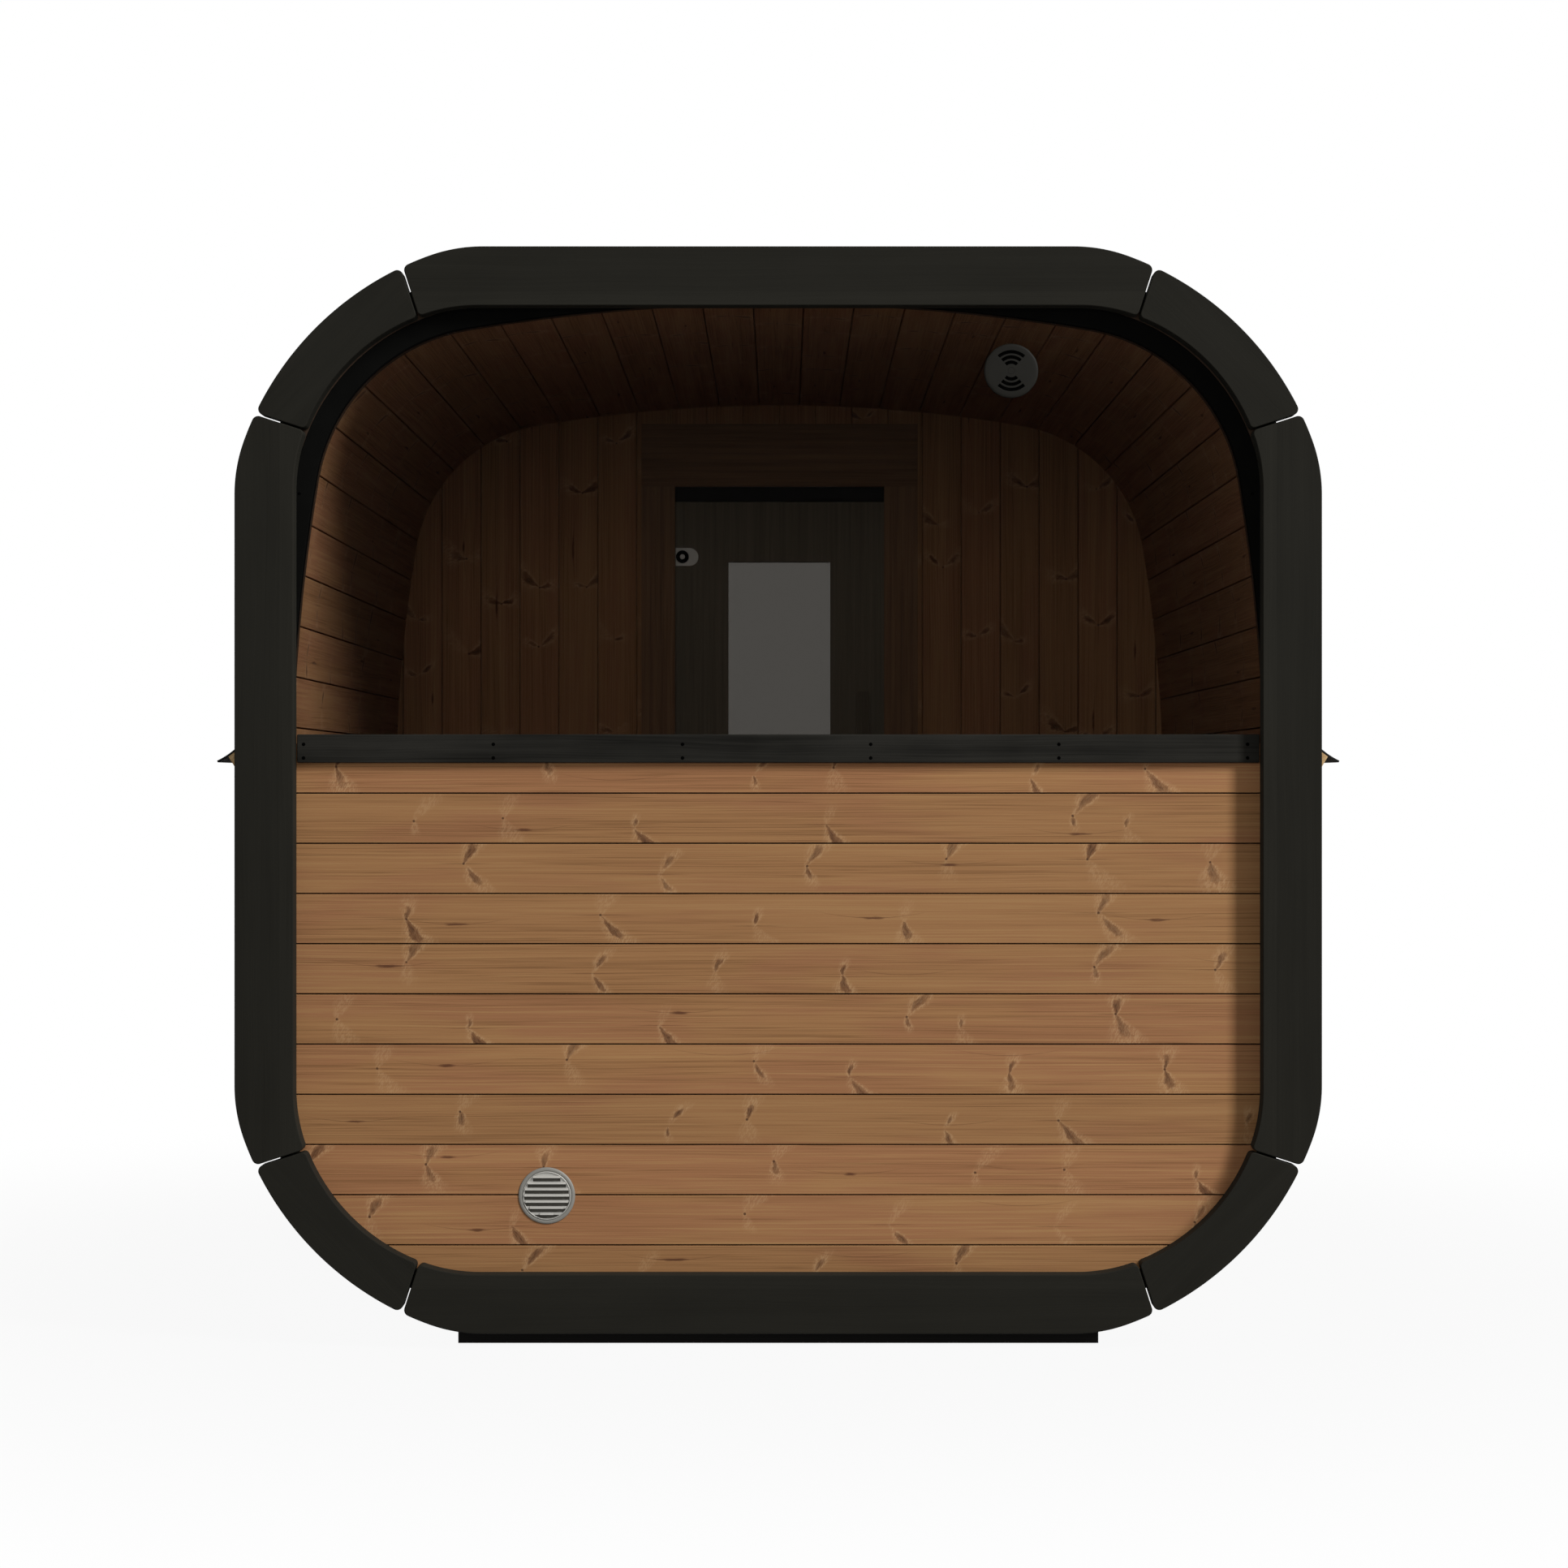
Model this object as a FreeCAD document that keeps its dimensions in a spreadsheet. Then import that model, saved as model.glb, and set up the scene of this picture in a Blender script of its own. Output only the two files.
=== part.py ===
# Garden sauna cabin with a softly squared cross-section: eight curved stave panels lie
# between two end walls, and each end wall carries a facade frame of eight stained boards.
# X runs across the cabin, Y along it and Z up; the origin is on the ground under its middle.
# The window wall faces -Y and the door wall faces +Y. All lengths are in millimetres.
import FreeCAD, Part
import Sketcher
import math
import os
import re

from FreeCAD import Placement, Rotation, Vector

os.makedirs("parts", exist_ok=True)
doc = FreeCAD.newDocument("SaunaCabin")

# Driving dimensions
driving = {
    # overall
    "cabin_length": 2000,
    "frame_foot": 31,
    # facade frames
    "frame_lap": 27,
    "frame_band": 112,
    "frame_thick": 42,
    "frame_corner_lap": 15,
    "frame_corner_band": 89.5,
    "frame_end_outer": 300,
    "frame_end_inner": 315,
    "frame_sweep_outer": 20,
    "frame_sweep_inner": 21,
    "frame_joint_angle": 18,
    "frame_joint_gap": 3.8,
    "frame_round_outer": 12,
    "frame_round_inner": 9,
    # shell of staves
    "shell_half": 945,
    "shell_side_radius": 3580,
    "shell_corner_radius": 363,
    "stave_thick": 42,
    "wall_thick": 42,
    # cradles
    "cradle_inset": 331,
    "cradle_depth": 60,
    # roof covering and eaves
    "cover_thick": 4,
    "cover_gap": 0.3,
    "flare_start": 180,
    "flare_radius": 145,
    "flare_sweep": 62,
    "lath_top": 120,
    "lath_bottom": -37,
    "lath_tip": 53,
    # window wall
    "sill_rise": 90,
    "rail_drop": 38,
    "rail_height": 54,
    "rail_thick": 12,
    "rail_end_gap": 2,
    "surround_lap": 14,
    "surround_edge": 25,
    "surround_thick": 8,
    "glass_thick": 10,
    "glass_edge": 3,
    "glass_play": 2,
    # louvre vent in the boards
    "louvre_inset": 504,
    "louvre_rise": 172,
    "louvre_flange_radius": 54,
    "louvre_field_radius": 46,
    "louvre_flange_thick": 2,
    "louvre_bead_width": 1.6,
    "louvre_bead_out": 1.5,
    "louvre_hole_radius": 47,
    "slat_pitch": 11.7,
    "slat_count": 7,
    "slat_lower": 4.6,
    "slat_slot": 5.6,
    "slat_out": 5.5,
    "slat_drop": 5.5,
    "slat_thick": 1.6,
    "slat_side_gap": 1.6,
    # rotary vent on the glass
    "vent_inset": 501,
    "vent_drop": 146,
    "vent_disc_radius": 52,
    "vent_disc_thick": 7.5,
    "vent_base_radius": 50,
    "vent_base_thick": 4,
    "vent_spigot_radius": 43,
    "vent_spigot_wall": 2,
    "vent_spigot_play": 1,
    "vent_spindle_radius": 6,
    "vent_running_gap": 0.1,
    "vent_face_gap": 0.3,
    "vent_rim_slope": 2.5,
    "vent_port_inner": 12,
    "vent_port_outer": 40,
    "slot_outer_radius": 36,
    "slot_step": 10,
    "slot_width": 5.4,
    "slot_half_angle": 42,
    "slot_turn": 90,
    # door wall
    "door_half": 267.5,
    "door_sill_rise": 59,
    "door_head_drop": 201,
    "door_head_height": 36,
    "stop_lap": 10,
    "stop_gap": 0.5,
    "leaf_thick": 30,
    "leaf_hinge_gap": 6,
    "leaf_lock_gap": 7,
    "leaf_end_gap": 6,
    "leaf_stile": 135,
    "leaf_foot_rail": 239,
    "leaf_head_rail": 178,
    "light_thick": 8,
    "casing_width": 82.5,
    "casing_thick": 14,
    "casing_step": 4,
    "casing_outer_band": 38,
    "casing_head": 154,
    # door furniture
    "hinge_pin_radius": 4,
    "hinge_bore_gap": 0.1,
    "hinge_knuckle_radius": 7,
    "hinge_height": 90,
    "hinge_plate": 3,
    "hinge_reach": 30,
    "hinge_pin_out": 10,
    "hinge_pin_in": 1.5,
    "hinge_split": 0.6,
    "hinge_plate_gap": 8,
    "hinge_face_gap": 0.3,
    "hinge_low_rise": 149,
    "hinge_high_drop": 166,
    "clamp_width": 56,
    "clamp_height": 44,
    "clamp_thick": 6,
    "clamp_side_gap": 1,
    "clamp_ring_inset": 17,
    "clamp_ring_radius": 16,
    "clamp_ring_out": 8,
    "handle_inset": 55,
    "handle_rise": 130,
    "handle_length": 360,
    "handle_width": 30,
    "handle_thick": 12,
    "handle_finger_gap": 28,
    "handle_post_width": 16,
    "handle_post_inset": 45,
}

dims = doc.addObject("Spreadsheet::Sheet", "Dims")
for row, (name, number) in enumerate(driving.items(), start=1):
    dims.set(f"A{row}", name)
    dims.set(f"B{row}", str(number))
    dims.setAlias(f"B{row}", name)
doc.recompute()

aliasWords = re.compile(r"\b(" + "|".join(driving) + r")\b")


def formula(text):
    """The text of a size with each alias written as a reference to the sheet."""
    return aliasWords.sub(r"Dims.\1", text)


def value(text):
    """The number that a size written in aliases comes to."""
    return float(dims.evalExpression(formula(text)))


def bind(obj, prop, text):
    obj.setExpression(prop, formula(text))


# Levels and planes that several pieces share
frameHalf = "(shell_half - frame_lap + frame_band)"
innerHalf = "(shell_half - frame_lap)"
centreZ = f"(frame_foot + {frameHalf})"
frontFace = "(cabin_length / 2)"
wallFace = "(cabin_length / 2 - frame_thick)"
wallBack = "(cabin_length / 2 - frame_thick - wall_thick)"
shellRun = "(cabin_length - 2 * frame_thick - 2 * wall_thick)"


# Sketch outlines: each is a closed list of ("line", start, end) and
# ("arc", centre, radius size, start angle, end angle), counter-clockwise arcs in degrees.
def polar(centre, radius, angle):
    turn = math.radians(angle)
    return Vector(centre.x + radius * math.cos(turn), centre.y + radius * math.sin(turn), 0)


def angleOf(centre, point):
    return math.degrees(math.atan2(point.y - centre.y, point.x - centre.x))


def arc(centre, radius, first, last):
    return ("arc", centre, radius, first, last)


def line(start, end):
    return ("line", start, end)


def circleOutline(centre, radius):
    return [("circle", centre, radius)]


def polygon(points):
    return [line(points[i], points[(i + 1) % len(points)]) for i in range(len(points))]


def rectangle(left, bottom, right, top):
    corners = [(left, bottom), (right, bottom), (right, top), (left, top)]
    return polygon([Vector(x, y, 0) for x, y in corners])


# Bodies, sketches and features
def newBody(label):
    body = doc.addObject("PartDesign::Body", label)
    body.Label = label
    return body


def originPlane(body, role):
    return next(item for item in body.Origin.OriginFeatures if item.Role == role)


def addSketch(body, outlines, start="0", role="XZ_Plane"):
    """Sketch on an origin plane of the body, moved out along the plane's normal."""
    sketch = body.newObject("Sketcher::SketchObject", body.Name + "_sketch")
    sketch.AttachmentSupport = [(originPlane(body, role), "")]
    sketch.MapMode = "FlatFace"
    sign = "-" if role == "XZ_Plane" else ""
    bind(sketch, "AttachmentOffset.Base.z", f"{sign}({start})")
    normal = Vector(0, 0, 1)
    for outline in outlines:
        first = sketch.GeometryCount
        for item in outline:
            if item[0] == "line":
                sketch.addGeometry(Part.LineSegment(item[1], item[2]))
                continue
            radius = item[2]
            circle = Part.Circle(item[1], normal, value(radius))
            if item[0] == "arc":
                circle = Part.ArcOfCircle(circle, math.radians(item[3]), math.radians(item[4]))
            index = sketch.addGeometry(circle)
            mark = sketch.addConstraint(Sketcher.Constraint("Radius", index, value(radius)))
            sketch.setExpression(f"Constraints[{mark}]", formula(radius))
        joinEnds(sketch, outline, first)
    return sketch


def joinEnds(sketch, outline, first):
    """Tie each edge's end to the edge that it meets."""
    count = len(outline)
    if count < 2:
        return
    ends = []
    for index in range(first, first + count):
        edge = sketch.Geometry[index]
        ends.append((index, 1, edge.StartPoint))
        ends.append((index, 2, edge.EndPoint))
    used = set()
    for i, (edgeA, endA, pointA) in enumerate(ends):
        for j in range(i + 1, len(ends)):
            edgeB, endB, pointB = ends[j]
            if edgeA == edgeB and count > 2 or j in used or i in used:
                continue
            if pointA.distanceToPoint(pointB) < 1e-5:
                sketch.addConstraint(Sketcher.Constraint("Coincident", edgeA, endA, edgeB, endB))
                used.update((i, j))


def pad(body, sketch, length, towardsFront=True):
    feature = body.newObject("PartDesign::Pad", body.Name + "_pad")
    feature.Profile = sketch
    bind(feature, "Length", length)
    feature.Reversed = towardsFront
    sketch.Visibility = False
    return feature


def pocket(body, sketch, length, towardsFront=True):
    feature = body.newObject("PartDesign::Pocket", body.Name + "_pocket")
    feature.Profile = sketch
    bind(feature, "Length", length)
    feature.Reversed = not towardsFront
    sketch.Visibility = False
    return feature


def extrude(label, outlines, start, length):
    """A body made by one pad from y = start towards +Y."""
    body = newBody(label)
    pad(body, addSketch(body, outlines, start), length)
    return body


def place(body, quarterTurns=0, faceTurn=0, height=centreZ):
    """Turn a piece in the cabin's cross-section, then about the upright axis, and lift it."""
    turn = Rotation(Vector(0, 0, 1), faceTurn).multiply(Rotation(Vector(0, 1, 0), 90 * quarterTurns))
    body.Placement = Placement(Vector(0, 0, 0), turn)
    bind(body, "Placement.Base.z", height)
    return body


def block(label, low, size):
    """A plain board: its low corner and its sizes along X, Y and Z."""
    board = doc.addObject("Part::Box", label)
    board.Label = label
    for prop, text in zip(("Length", "Width", "Height"), size):
        bind(board, prop, text)
    for axis, text in zip("xyz", low):
        bind(board, f"Placement.Base.{axis}", text)
    return board


# Cross-section of the shell: four side arcs and four corner arcs, all tangent. Every parallel
# offset keeps the same centres, so an offset only adds to the radii.
shellSide = "shell_side_radius"
shellCorner = "shell_corner_radius"
shellSpread = "(shell_side_radius - shell_corner_radius)"
joinAngle = math.degrees(
    math.acos(value(f"(shell_side_radius - shell_half) / {shellSpread}") / math.sqrt(2))
) - 45
cornerCentre = value(shellSpread) * math.sin(math.radians(joinAngle))
sideCentre = value("shell_side_radius - shell_half")


def sideRadius(offset):
    return f"(shell_side_radius + {offset})"


def cornerRadius(offset):
    return f"(shell_corner_radius + {offset})"


topCentre = Vector(0, -sideCentre, 0)
rightCentre = Vector(-sideCentre, 0, 0)
leftCentre = Vector(sideCentre, 0, 0)
upperRight = Vector(cornerCentre, cornerCentre, 0)
upperLeft = Vector(-cornerCentre, cornerCentre, 0)


def upperShell(offset, cut):
    """The part of an offset of the shell outline that lies above the level cut."""
    side = sideRadius(offset)
    corner = cornerRadius(offset)
    level = value(cut)
    foot = math.degrees(math.asin(level / value(side)))
    low = polar(rightCentre, value(side), foot)
    return [
        arc(rightCentre, side, foot, joinAngle),
        arc(upperRight, corner, joinAngle, 90 - joinAngle),
        arc(topCentre, side, 90 - joinAngle, 90 + joinAngle),
        arc(upperLeft, corner, 90 + joinAngle, 180 - joinAngle),
        arc(leftCentre, side, 180 - joinAngle, 180 - foot),
        line(Vector(-low.x, low.y, 0), low),
    ]


def ringSector(centre, inner, outer, first, last):
    """Part of a ring between two radii and two angles."""
    rIn = value(inner)
    rOut = value(outer)
    return [
        arc(centre, outer, first, last),
        line(polar(centre, rOut, last), polar(centre, rIn, last)),
        arc(centre, inner, first, last),
        line(polar(centre, rIn, first), polar(centre, rOut, first)),
    ]


# Facade frame: outer and inner outlines are straight, then an end arc, then a corner arc.
# On the diagonal the inner outline lies a lap inside the shell's outer face.
rootTwo = math.sqrt(2)


def cornerArc(half, diagonal, end, sweep):
    """The corner arc that joins an end arc smoothly and crosses the diagonal at a distance:
    its radius, its centre, the end arc's centre and the half length of the straight."""
    turn = f"(cos({sweep}) - sin({sweep}))"
    grow = f"(({rootTwo} * ({half} - {end}) + {end} - {diagonal}) / ({rootTwo} * cos({sweep}) - 1))"
    flat = value(f"{half} - {end} - {grow} * {turn}")
    middle = value(f"{flat} - {grow} * sin({sweep})")
    endMiddle = Vector(flat, value(f"{half} - {end}"), 0)
    return f"({end} + {grow})", Vector(middle, middle, 0), endMiddle


innerDiagonal = f"({rootTwo * cornerCentre} + shell_corner_radius + stave_thick - frame_corner_lap)"
outerDiagonal = f"({innerDiagonal} + frame_corner_band)"
outerCorner, outerMiddle, outerEndMiddle = cornerArc(
    frameHalf, outerDiagonal, "frame_end_outer", "frame_sweep_outer"
)
innerCorner, innerMiddle, innerEndMiddle = cornerArc(
    innerHalf, innerDiagonal, "frame_end_inner", "frame_sweep_inner"
)


def crossing(start, direction, centre, radius):
    """Where a line from start leaves a circle."""
    gap = start - centre
    along = gap.dot(direction)
    reach = math.sqrt(along * along - gap.dot(gap) + radius * radius)
    return start + direction * (reach - along)


jointTurn = math.radians(value("frame_joint_angle"))
jointRun = Vector(math.sin(jointTurn), math.cos(jointTurn), 0)
jointSide = Vector(jointRun.y, -jointRun.x, 0)
jointRoot = polar(innerEndMiddle, value("frame_end_inner"), 90 - value("frame_sweep_inner"))
jointHalf = value("frame_joint_gap / 2")


def mirrored(point):
    return Vector(-point.x, point.y, 0)


def swapped(point):
    return Vector(point.y, point.x, 0)


def straightPiece():
    """The upper board of a frame, between two joints."""
    root = jointRoot - jointSide * jointHalf - jointRun * value("frame_band / 2")
    low = crossing(root, jointRun, innerEndMiddle, value("frame_end_inner"))
    high = crossing(root, jointRun, outerMiddle, value(outerCorner))
    innerEnd = angleOf(innerEndMiddle, low)
    outerEnd = angleOf(outerMiddle, high)
    outerBreak = 90 - value("frame_sweep_outer")
    outerFlat = Vector(outerEndMiddle.x, value(frameHalf), 0)
    innerFlat = Vector(innerEndMiddle.x, value(innerHalf), 0)
    return [
        line(low, high),
        arc(outerMiddle, outerCorner, outerEnd, outerBreak),
        arc(outerEndMiddle, "frame_end_outer", outerBreak, 90),
        line(outerFlat, mirrored(outerFlat)),
        arc(mirrored(outerEndMiddle), "frame_end_outer", 90, 180 - outerBreak),
        arc(mirrored(outerMiddle), outerCorner, 180 - outerBreak, 180 - outerEnd),
        line(mirrored(high), mirrored(low)),
        arc(mirrored(innerEndMiddle), "frame_end_inner", 90, 180 - innerEnd),
        line(mirrored(innerFlat), innerFlat),
        arc(innerEndMiddle, "frame_end_inner", innerEnd, 90),
    ]


def cornerPiece():
    """The upper right corner board of a frame."""
    root = jointRoot + jointSide * jointHalf - jointRun * value("frame_band / 2")
    low = crossing(root, jointRun, innerMiddle, value(innerCorner))
    high = crossing(root, jointRun, outerMiddle, value(outerCorner))
    innerEnd = angleOf(innerMiddle, low)
    outerEnd = angleOf(outerMiddle, high)
    return [
        line(low, high),
        arc(outerMiddle, outerCorner, 90 - outerEnd, outerEnd),
        line(swapped(high), swapped(low)),
        arc(innerMiddle, innerCorner, 90 - innerEnd, innerEnd),
    ]


def roundJointCorners(body, outline):
    """Round the four corners of a frame board where its joint cuts meet its edges."""
    joints = [item[1:] for item in outline if item[0] == "line" and abs(item[1].y - item[2].y) > 1]
    doc.recompute()
    base = body.Tip
    for radius, choose in (("frame_round_outer", max), ("frame_round_inner", min)):
        ends = [choose(pair, key=lambda point: point.Length) for pair in joints]
        names = []
        for number, edge in enumerate(base.Shape.Edges, start=1):
            first, last = edge.Vertexes[0].Point, edge.Vertexes[-1].Point
            if abs(first.x - last.x) > 1e-4 or abs(first.z - last.z) > 1e-4:
                continue
            if any(math.hypot(first.x - end.x, first.z - end.y) < 0.01 for end in ends):
                names.append(f"Edge{number}")
        fillet = body.newObject("PartDesign::Fillet", body.Name + "_round")
        fillet.Base = (base, names)
        bind(fillet, "Radius", radius)
        doc.recompute()
        base = fillet


def facadeFrame(side, start):
    names = ("top", "right", "bottom", "left")
    corners = ("corner_upper_right", "corner_lower_right", "corner_lower_left", "corner_upper_left")
    for turn in range(4):
        for label, outline in ((names[turn], straightPiece()), (corners[turn], cornerPiece())):
            body = extrude(f"{side}_frame_{label}", [outline], start, "frame_thick")
            roundJointCorners(body, outline)
            place(body, turn)


facadeFrame("rear", f"-{frontFace}")
facadeFrame("front", wallFace)

# Shell: four side panels and four corner panels of staves
sideNames = ("ceiling", "side_right", "floor", "side_left")
cornerNames = ("upper_right", "lower_right", "lower_left", "upper_left")
outside = "stave_thick"
for turn in range(4):
    sector = ringSector(topCentre, shellSide, sideRadius(outside), 90 - joinAngle, 90 + joinAngle)
    place(extrude(f"shell_{sideNames[turn]}", [sector], f"-{wallBack}", shellRun), turn)
    sector = ringSector(upperRight, shellCorner, cornerRadius(outside), joinAngle, 90 - joinAngle)
    place(extrude(f"shell_corner_{cornerNames[turn]}", [sector], f"-{wallBack}", shellRun), turn)

# Cradles: cross bearers with their top cut to the shell, drawn upside down
cradleEdge = math.degrees(math.asin(value("shell_half - cradle_inset") / value(sideRadius(outside))))
cradleTop = polar(topCentre, value(sideRadius(outside)), 90 - cradleEdge)
cradleFoot = Vector(cradleTop.x, value(centreZ), 0)
cradle = [
    arc(topCentre, sideRadius(outside), 90 - cradleEdge, 90 + cradleEdge),
    line(mirrored(cradleTop), mirrored(cradleFoot)),
    line(mirrored(cradleFoot), cradleFoot),
    line(cradleFoot, cradleTop),
]
place(extrude("cradle_rear", [cradle], f"-{wallBack}", "cradle_depth"), 2)
place(extrude("cradle_front", [cradle], f"{wallBack} - cradle_depth", "cradle_depth"), 2)

# Roof covering: one sheet over the ceiling and one down each side, flared out over an eave lath
coverIn = "(stave_thick + cover_gap)"
coverOut = "(stave_thick + cover_gap + cover_thick)"
coverRun = "(cabin_length - 2 * frame_thick)"
sector = ringSector(topCentre, sideRadius(coverIn), sideRadius(coverOut), 90 - joinAngle, 90 + joinAngle)
place(extrude("roof_cover_top", [sector], f"-{wallFace}", coverRun))

flareAngle = math.degrees(math.asin(value("flare_start") / value(sideRadius(coverOut))))
flareCentre = polar(rightCentre, value(f"{sideRadius(coverOut)} + flare_radius"), flareAngle)
flareFirst = 180 + flareAngle
flareLast = flareFirst + value("flare_sweep")
flareUnder = "(flare_radius + cover_thick)"


def sideCover():
    """The side sheet: over the corner, down the side and out along the flare."""
    return [
        arc(upperRight, cornerRadius(coverOut), joinAngle, 90 - joinAngle),
        arc(rightCentre, sideRadius(coverOut), flareAngle, joinAngle),
        arc(flareCentre, "flare_radius", flareFirst, flareLast),
        line(
            polar(flareCentre, value("flare_radius"), flareLast),
            polar(flareCentre, value(flareUnder), flareLast),
        ),
        arc(flareCentre, flareUnder, flareFirst, flareLast),
        arc(rightCentre, sideRadius(coverIn), flareAngle, joinAngle),
        arc(upperRight, cornerRadius(coverIn), joinAngle, 90 - joinAngle),
        line(
            polar(upperRight, value(cornerRadius(coverIn)), 90 - joinAngle),
            polar(upperRight, value(cornerRadius(coverOut)), 90 - joinAngle),
        ),
    ]


def eaveLath():
    """A ripped lath: its back lies on the staves and its hollow face carries the flared sheet."""
    side = sideRadius(outside)
    face = "(flare_radius + cover_thick + cover_gap)"
    topAngle = math.degrees(math.asin(value("lath_top") / value(side)))
    footAngle = math.degrees(math.asin(value("lath_bottom") / value(side)))
    backTop = polar(rightCentre, value(side), topAngle)
    backFoot = polar(rightCentre, value(side), footAngle)
    level = Vector(flareCentre.x, value("lath_top"), 0)
    faceTop = crossing(level, Vector(-1, 0, 0), flareCentre, value(face))
    tipDrop = flareFirst + value("lath_tip")
    tip = polar(flareCentre, value(face), tipDrop)
    return [
        arc(rightCentre, side, footAngle, topAngle),
        line(backTop, faceTop),
        arc(flareCentre, face, angleOf(flareCentre, faceTop) % 360, tipDrop),
        line(tip, backFoot),
    ]


for side, faceTurn in (("right", 0), ("left", 180)):
    place(extrude(f"roof_cover_{side}", [sideCover()], f"-{wallFace}", coverRun), 0, faceTurn)
    place(extrude(f"eave_lath_{side}", [eaveLath()], f"-{wallFace}", coverRun), 0, faceTurn)

# Window wall: boards below, a rebated wooden arch above, the pane and its black surround
sillLevel = "sill_rise"
louvreX = "(louvre_inset - shell_half)"
louvreCentre = Vector(value(louvreX), value("louvre_rise - shell_half"), 0)


def lowerShell(offset, cut):
    """The part of an offset of the shell outline that lies below the level cut."""
    flipped = []
    for item in upperShell(offset, f"-({cut})"):
        if item[0] == "line":
            flipped.append(line(Vector(item[1].x, -item[1].y, 0), Vector(item[2].x, -item[2].y, 0)))
        else:
            flipped.append(arc(Vector(item[1].x, -item[1].y, 0), item[2], -item[4], -item[3]))
    return flipped


boards = newBody("rear_wall_boards")
pad(boards, addSketch(boards, [lowerShell("stave_thick", sillLevel)], f"-{wallFace}"), "wall_thick")
hole = circleOutline(louvreCentre, "louvre_hole_radius")
pocket(boards, addSketch(boards, [hole], f"-{wallFace}"), "wall_thick")
place(boards)

below = f"({sillLevel} - 2 * wall_thick)"
arch = newBody("rear_window_arch")
pad(arch, addSketch(arch, [upperShell("stave_thick", sillLevel)], f"-{wallFace}"), "wall_thick")
cuts = (
    ("-surround_lap", "wall_thick"),
    ("(glass_edge + glass_play)", "(surround_thick + glass_thick)"),
    ("surround_edge", "surround_thick"),
)
for offset, depth in cuts:
    pocket(arch, addSketch(arch, [upperShell(offset, below)], f"-{wallFace}"), depth)
place(arch)

surround = newBody("rear_window_surround")
pad(surround, addSketch(surround, [upperShell("surround_edge", sillLevel)], f"-{wallFace}"), "surround_thick")
pocket(surround, addSketch(surround, [upperShell("-surround_lap", below)], f"-{wallFace}"), "surround_thick")
place(surround)

ventCentre = Vector(value("shell_half - vent_inset"), value("shell_half - vent_drop"), 0)
glassFront = f"-({wallFace} - surround_thick)"
glass = newBody("rear_window_glass")
pad(glass, addSketch(glass, [upperShell("glass_edge", sillLevel)], glassFront), "glass_thick")
ventHole = circleOutline(ventCentre, "(vent_spigot_radius + vent_spigot_play)")
pocket(glass, addSketch(glass, [ventHole], glassFront), "glass_thick")
place(glass)

railHalf = f"({innerHalf} - rail_end_gap)"
block(
    "rear_sill_rail",
    (f"-{railHalf}", f"-({wallFace} + rail_thick)", f"{centreZ} + sill_rise - rail_drop"),
    (f"2 * {railHalf}", "rail_thick", "rail_height"),
)

# Louvre vent: a round plate over a hole in the boards, with a raised bead, slots and a blade over each
plateFront = f"({wallFace} + louvre_flange_thick)"
vent = newBody("louvre_vent")
plate = circleOutline(louvreCentre, "louvre_flange_radius")
pad(vent, addSketch(vent, [plate], f"-{plateFront}"), "louvre_flange_thick")
bead = [
    circleOutline(louvreCentre, "louvre_field_radius"),
    circleOutline(louvreCentre, "(louvre_field_radius - louvre_bead_width)"),
]
pad(vent, addSketch(vent, bead, f"-({plateFront} + louvre_bead_out)"), "louvre_bead_out")
bladeReach = value("louvre_field_radius - louvre_bead_width - slat_side_gap")
slotReach = value("louvre_field_radius - louvre_bead_width / 2")


def blade(top):
    """Section of a blade: it starts in the plate and slopes out and down over its slot."""
    back = value(f"-{plateFront} + louvre_flange_thick / 2")
    tip = value(f"-({plateFront} + slat_out)")
    drop = value("slat_drop")
    thick = value("slat_thick")
    points = [(back, top), (tip, top - drop), (tip, top - drop - thick), (back, top - thick)]
    return polygon([Vector(y, z, 0) for y, z in points])


slatCount = int(value("slat_count"))
slots = []
for number in range(slatCount):
    middle = (number - (slatCount - 1) / 2) * value("slat_pitch") - value("slat_lower")
    low = middle - value("slat_slot / 2")
    high = middle + value("slat_slot / 2")
    top = high + value("slat_drop - slat_thick / 2")
    half = min(math.sqrt(bladeReach ** 2 - high ** 2), math.sqrt(slotReach ** 2 - low ** 2))
    level = louvreCentre.y
    slots.append(rectangle(louvreCentre.x - half, level + low, louvreCentre.x + half, level + high))
    sketch = addSketch(vent, [blade(level + top)], louvreX, "YZ_Plane")
    slat = pad(vent, sketch, f"2 * {half}", False)
    slat.Midplane = True
pocket(vent, addSketch(vent, slots, f"-{plateFront}"), "louvre_flange_thick")
place(vent)

# Rotary vent: a base fixed through the pane, with one port above and one below the spindle,
# and a slotted disc that turns in front of them
def openSectors(body, inner, outer, start, depth):
    """Cut the same part of a ring above and below the spindle."""
    half = value("slot_half_angle")
    for middle in (value("slot_turn"), value("slot_turn") + 180):
        sector = ringSector(ventCentre, inner, outer, middle - half, middle + half)
        pocket(body, addSketch(body, [sector], start), depth)


baseFront = f"({glassFront} - vent_base_thick)"
discBack = f"({baseFront} - vent_face_gap)"
discFront = f"({discBack} - vent_disc_thick)"
base = newBody("window_vent_base")
pad(base, addSketch(base, [circleOutline(ventCentre, "vent_base_radius")], baseFront), "vent_base_thick")
openSectors(base, "vent_port_inner", "vent_port_outer", baseFront, "vent_base_thick")
spindle = circleOutline(ventCentre, "vent_spindle_radius")
pad(base, addSketch(base, [spindle], discFront), "(vent_disc_thick + vent_face_gap)")
spigot = [
    circleOutline(ventCentre, "vent_spigot_radius"),
    circleOutline(ventCentre, "(vent_spigot_radius - vent_spigot_wall)"),
]
pad(base, addSketch(base, spigot, glassFront), "glass_thick")
place(base)

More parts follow.
